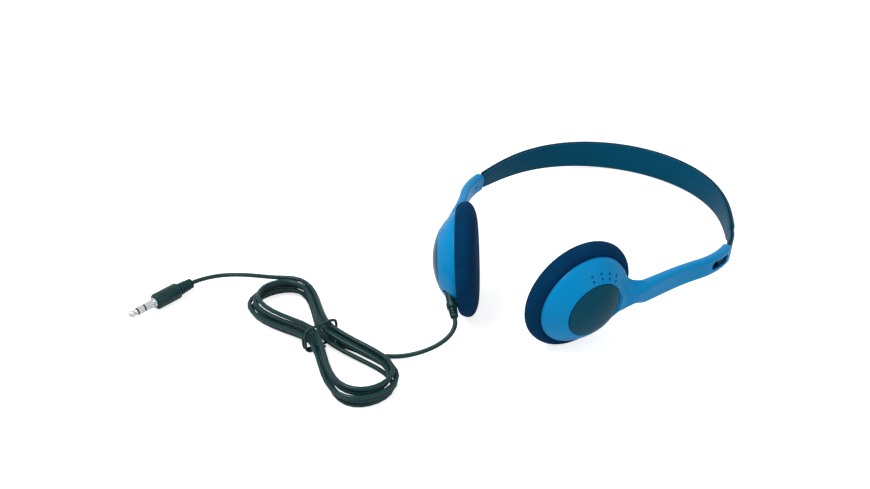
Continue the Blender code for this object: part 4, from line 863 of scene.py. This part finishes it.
def metal(name, colour, roughness):
    """Plated metal with fine turning marks round its axis."""
    made = bpy.data.materials.new(name)
    made.use_nodes = True
    nodes, links = made.node_tree.nodes, made.node_tree.links
    shader = nodes["Principled BSDF"]
    shader.inputs["Base Color"].default_value = (*colour, 1)
    shader.inputs["Metallic"].default_value = 1.0
    place = nodes.new("ShaderNodeTexCoord")
    marks = nodes.new("ShaderNodeTexNoise")
    marks.inputs["Scale"].default_value = 1500.0
    links.new(place.outputs["Object"], marks.inputs["Vector"])
    rough = nodes.new("ShaderNodeMapRange")
    rough.inputs["To Min"].default_value = roughness * 0.7
    rough.inputs["To Max"].default_value = roughness * 1.3
    links.new(marks.outputs["Fac"], rough.inputs["Value"])
    links.new(rough.outputs["Result"], shader.inputs["Roughness"])
    return made


chrome = metal("chrome", (0.56, 0.58, 0.60), 0.16)
black = plastic("black plastic", (0.012, 0.012, 0.013), roughness=0.45, grain=2200.0,
                grain_depth=0.004 * MM, variation=0.1)
contacts = {
    "sleeve": [(0, 13.3), (2.3, 13.3), (2.35, 13.35), (2.35, 14.12), (2.28, 14.2), (1.75, 14.2),
               (1.75, 18.82), (1.67, 18.9), (0, 18.9)],
    "ring": [(0, 19.6), (1.69, 19.6), (1.75, 19.66), (1.75, 22.64), (1.69, 22.7), (0, 22.7)],
    "tip": [(0, 23.4), (1.6, 23.4), (1.6, 23.6), (1.2, 24.1), (1.15, 24.3), (1.15, 24.4),
            (1.22, 24.55), (1.5, 24.95), (1.58, 25.15), (1.6, 25.4), (1.56, 25.75), (1.42, 26.2),
            (1.12, 26.68), (0.85, 27.0), (0.5, 27.22), (0.25, 27.29), (0, 27.3)],
    "spacer_1": [(0, 18.95), (1.62, 18.95), (1.62, 19.55), (0, 19.55)],
    "spacer_2": [(0, 22.75), (1.62, 22.75), (1.62, 23.35), (0, 23.35)],
}
plug_pieces = [grip]
for name, outline in contacts.items():
    piece = turned_piece("plug_" + name, [(r * MM, h * MM) for r, h in outline], plug_place,
                         steps=64, sharp=30)
    spacer = name.startswith("spacer")
    piece.data.materials.append(black if spacer else chrome)
    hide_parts("plug_insulator_" + name[-1] if spacer else "plug_%s_contact" % name)
    plug_pieces.append(piece)
for piece in plug_pieces:
    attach(piece, "left_cup")


# Inside the cups: baffle, driver, magnet, coil, terminal board and wires, with the felt behind the
# vents and the crossover wire in the headband. Their CAD shapes stay and get their finishes.
steel = metal("plated steel", (0.55, 0.55, 0.56), 0.28)
magnet_grey = metal("magnet grey", (0.22, 0.22, 0.24), 0.4)
copper = metal("enamelled copper", (0.62, 0.24, 0.09), 0.32)
board_green = plastic("board", (0.01, 0.12, 0.04), roughness=0.4, grain=1200.0,
                      grain_depth=0.004 * MM, variation=0.12)
film = plastic("film", (0.62, 0.56, 0.38), roughness=0.25, grain=500.0,
               grain_depth=0.002 * MM, variation=0.05)
felt = foam("felt", (0.006, 0.007, 0.008))
finishes = {"baffle": black, "driver_frame": black, "yoke": steel, "top_plate": steel,
            "magnet": magnet_grey, "voice_coil": copper, "inner_leads": copper, "diaphragm": film,
            "terminal_board": board_green, "vent_felt": felt}
for side in ("left", "right"):
    for name, finish in finishes.items():
        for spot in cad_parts[side + "_" + name].material_slots:
            spot.material = finish
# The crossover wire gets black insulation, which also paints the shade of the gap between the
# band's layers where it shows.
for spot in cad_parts["crossover_wire"].material_slots:
    spot.material = black


# The white table and the studio: a broad soft light above and behind the camera's left, a weak fill
# from the right, and a white sky. Table and sky are white to the camera, but add little light.
TABLE_GLOW, TABLE_MIRRORED = 0.72, 0.12
SKY_LIGHT, SKY_SEEN = 0.42, 1.0
table = cutter("table", lambda work: bmesh.ops.create_grid(work, x_segments=1, y_segments=1,
                                                           size=3.0))
table.location.z = -0.1 * MM
table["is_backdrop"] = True
paper = bpy.data.materials.new("white table")
paper.use_nodes = True
nodes, links = paper.node_tree.nodes, paper.node_tree.links
base = nodes["Principled BSDF"]
base.inputs["Base Color"].default_value = (0.86, 0.86, 0.86, 1)
base.inputs["Roughness"].default_value = 0.9
rays = nodes.new("ShaderNodeLightPath")
mirrored = nodes.new("ShaderNodeMath")
mirrored.operation = "MULTIPLY"
mirrored.inputs[1].default_value = TABLE_MIRRORED
links.new(rays.outputs["Is Glossy Ray"], mirrored.inputs[0])
glow = nodes.new("ShaderNodeMath")
glow.operation = "MULTIPLY_ADD"
glow.inputs[1].default_value = TABLE_GLOW
links.new(rays.outputs["Is Camera Ray"], glow.inputs[0])
links.new(mirrored.outputs[0], glow.inputs[2])
base.inputs["Emission Color"].default_value = (1, 1, 1, 1)
links.new(glow.outputs[0], base.inputs["Emission Strength"])
table.data.materials.append(paper)

world = bpy.data.worlds.new("studio")
bpy.context.scene.world = world
world.use_nodes = True
nodes, links = world.node_tree.nodes, world.node_tree.links
sky = nodes["Background"]
sky.inputs["Color"].default_value = (1, 1, 1, 1)
rays = nodes.new("ShaderNodeLightPath")
strength = nodes.new("ShaderNodeMapRange")
strength.inputs["To Min"].default_value = SKY_LIGHT
strength.inputs["To Max"].default_value = SKY_SEEN
seen = nodes.new("ShaderNodeMath")
seen.operation = "MAXIMUM"
links.new(rays.outputs["Is Camera Ray"], seen.inputs[0])
links.new(rays.outputs["Is Glossy Ray"], seen.inputs[1])
links.new(seen.outputs[0], strength.inputs["Value"])
links.new(strength.outputs["Result"], sky.inputs["Strength"])


def softbox(name, spot, size, power):
    """A rectangular soft light aimed at the headphones."""
    lamp = bpy.data.lights.new(name, "AREA")
    lamp.shape = "RECTANGLE"
    lamp.size, lamp.size_y = size
    lamp.energy = power
    holder = bpy.data.objects.new(name, lamp)
    holder.location = spot
    holder.rotation_euler = (AIM - Vector(spot)).to_track_quat("-Z", "Y").to_euler()
    bpy.context.collection.objects.link(holder)


AIM = Vector((-0.02, -0.03, 0.02))
softbox("key", (-0.35, -0.35, 0.75), size=(0.4, 0.3), power=4.8)
softbox("fill", (0.7, -0.3, 0.45), size=(0.6, 0.6), power=1.0)


# The camera: a lens a little longer than normal, at the photograph's angle. Its shift is only what
# the photograph's framing needs.
lens = bpy.data.cameras.new("camera")
lens.lens = 46.9
lens.sensor_width = 36.0
lens.shift_x, lens.shift_y = 0.138, 0.040
camera = bpy.data.objects.new("camera", lens)
camera.matrix_world = Matrix.Translation((0.09347, -0.45646, 0.29309)) @ Matrix((
    (0.895193, -0.228381, 0.382722),
    (0.444793, 0.512006, -0.734857),
    (-0.028125, 0.82806, 0.559924))).to_4x4()
bpy.context.collection.objects.link(camera)
bpy.context.scene.camera = camera
bpy.context.scene.view_settings.view_transform = "Standard"

low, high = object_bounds()
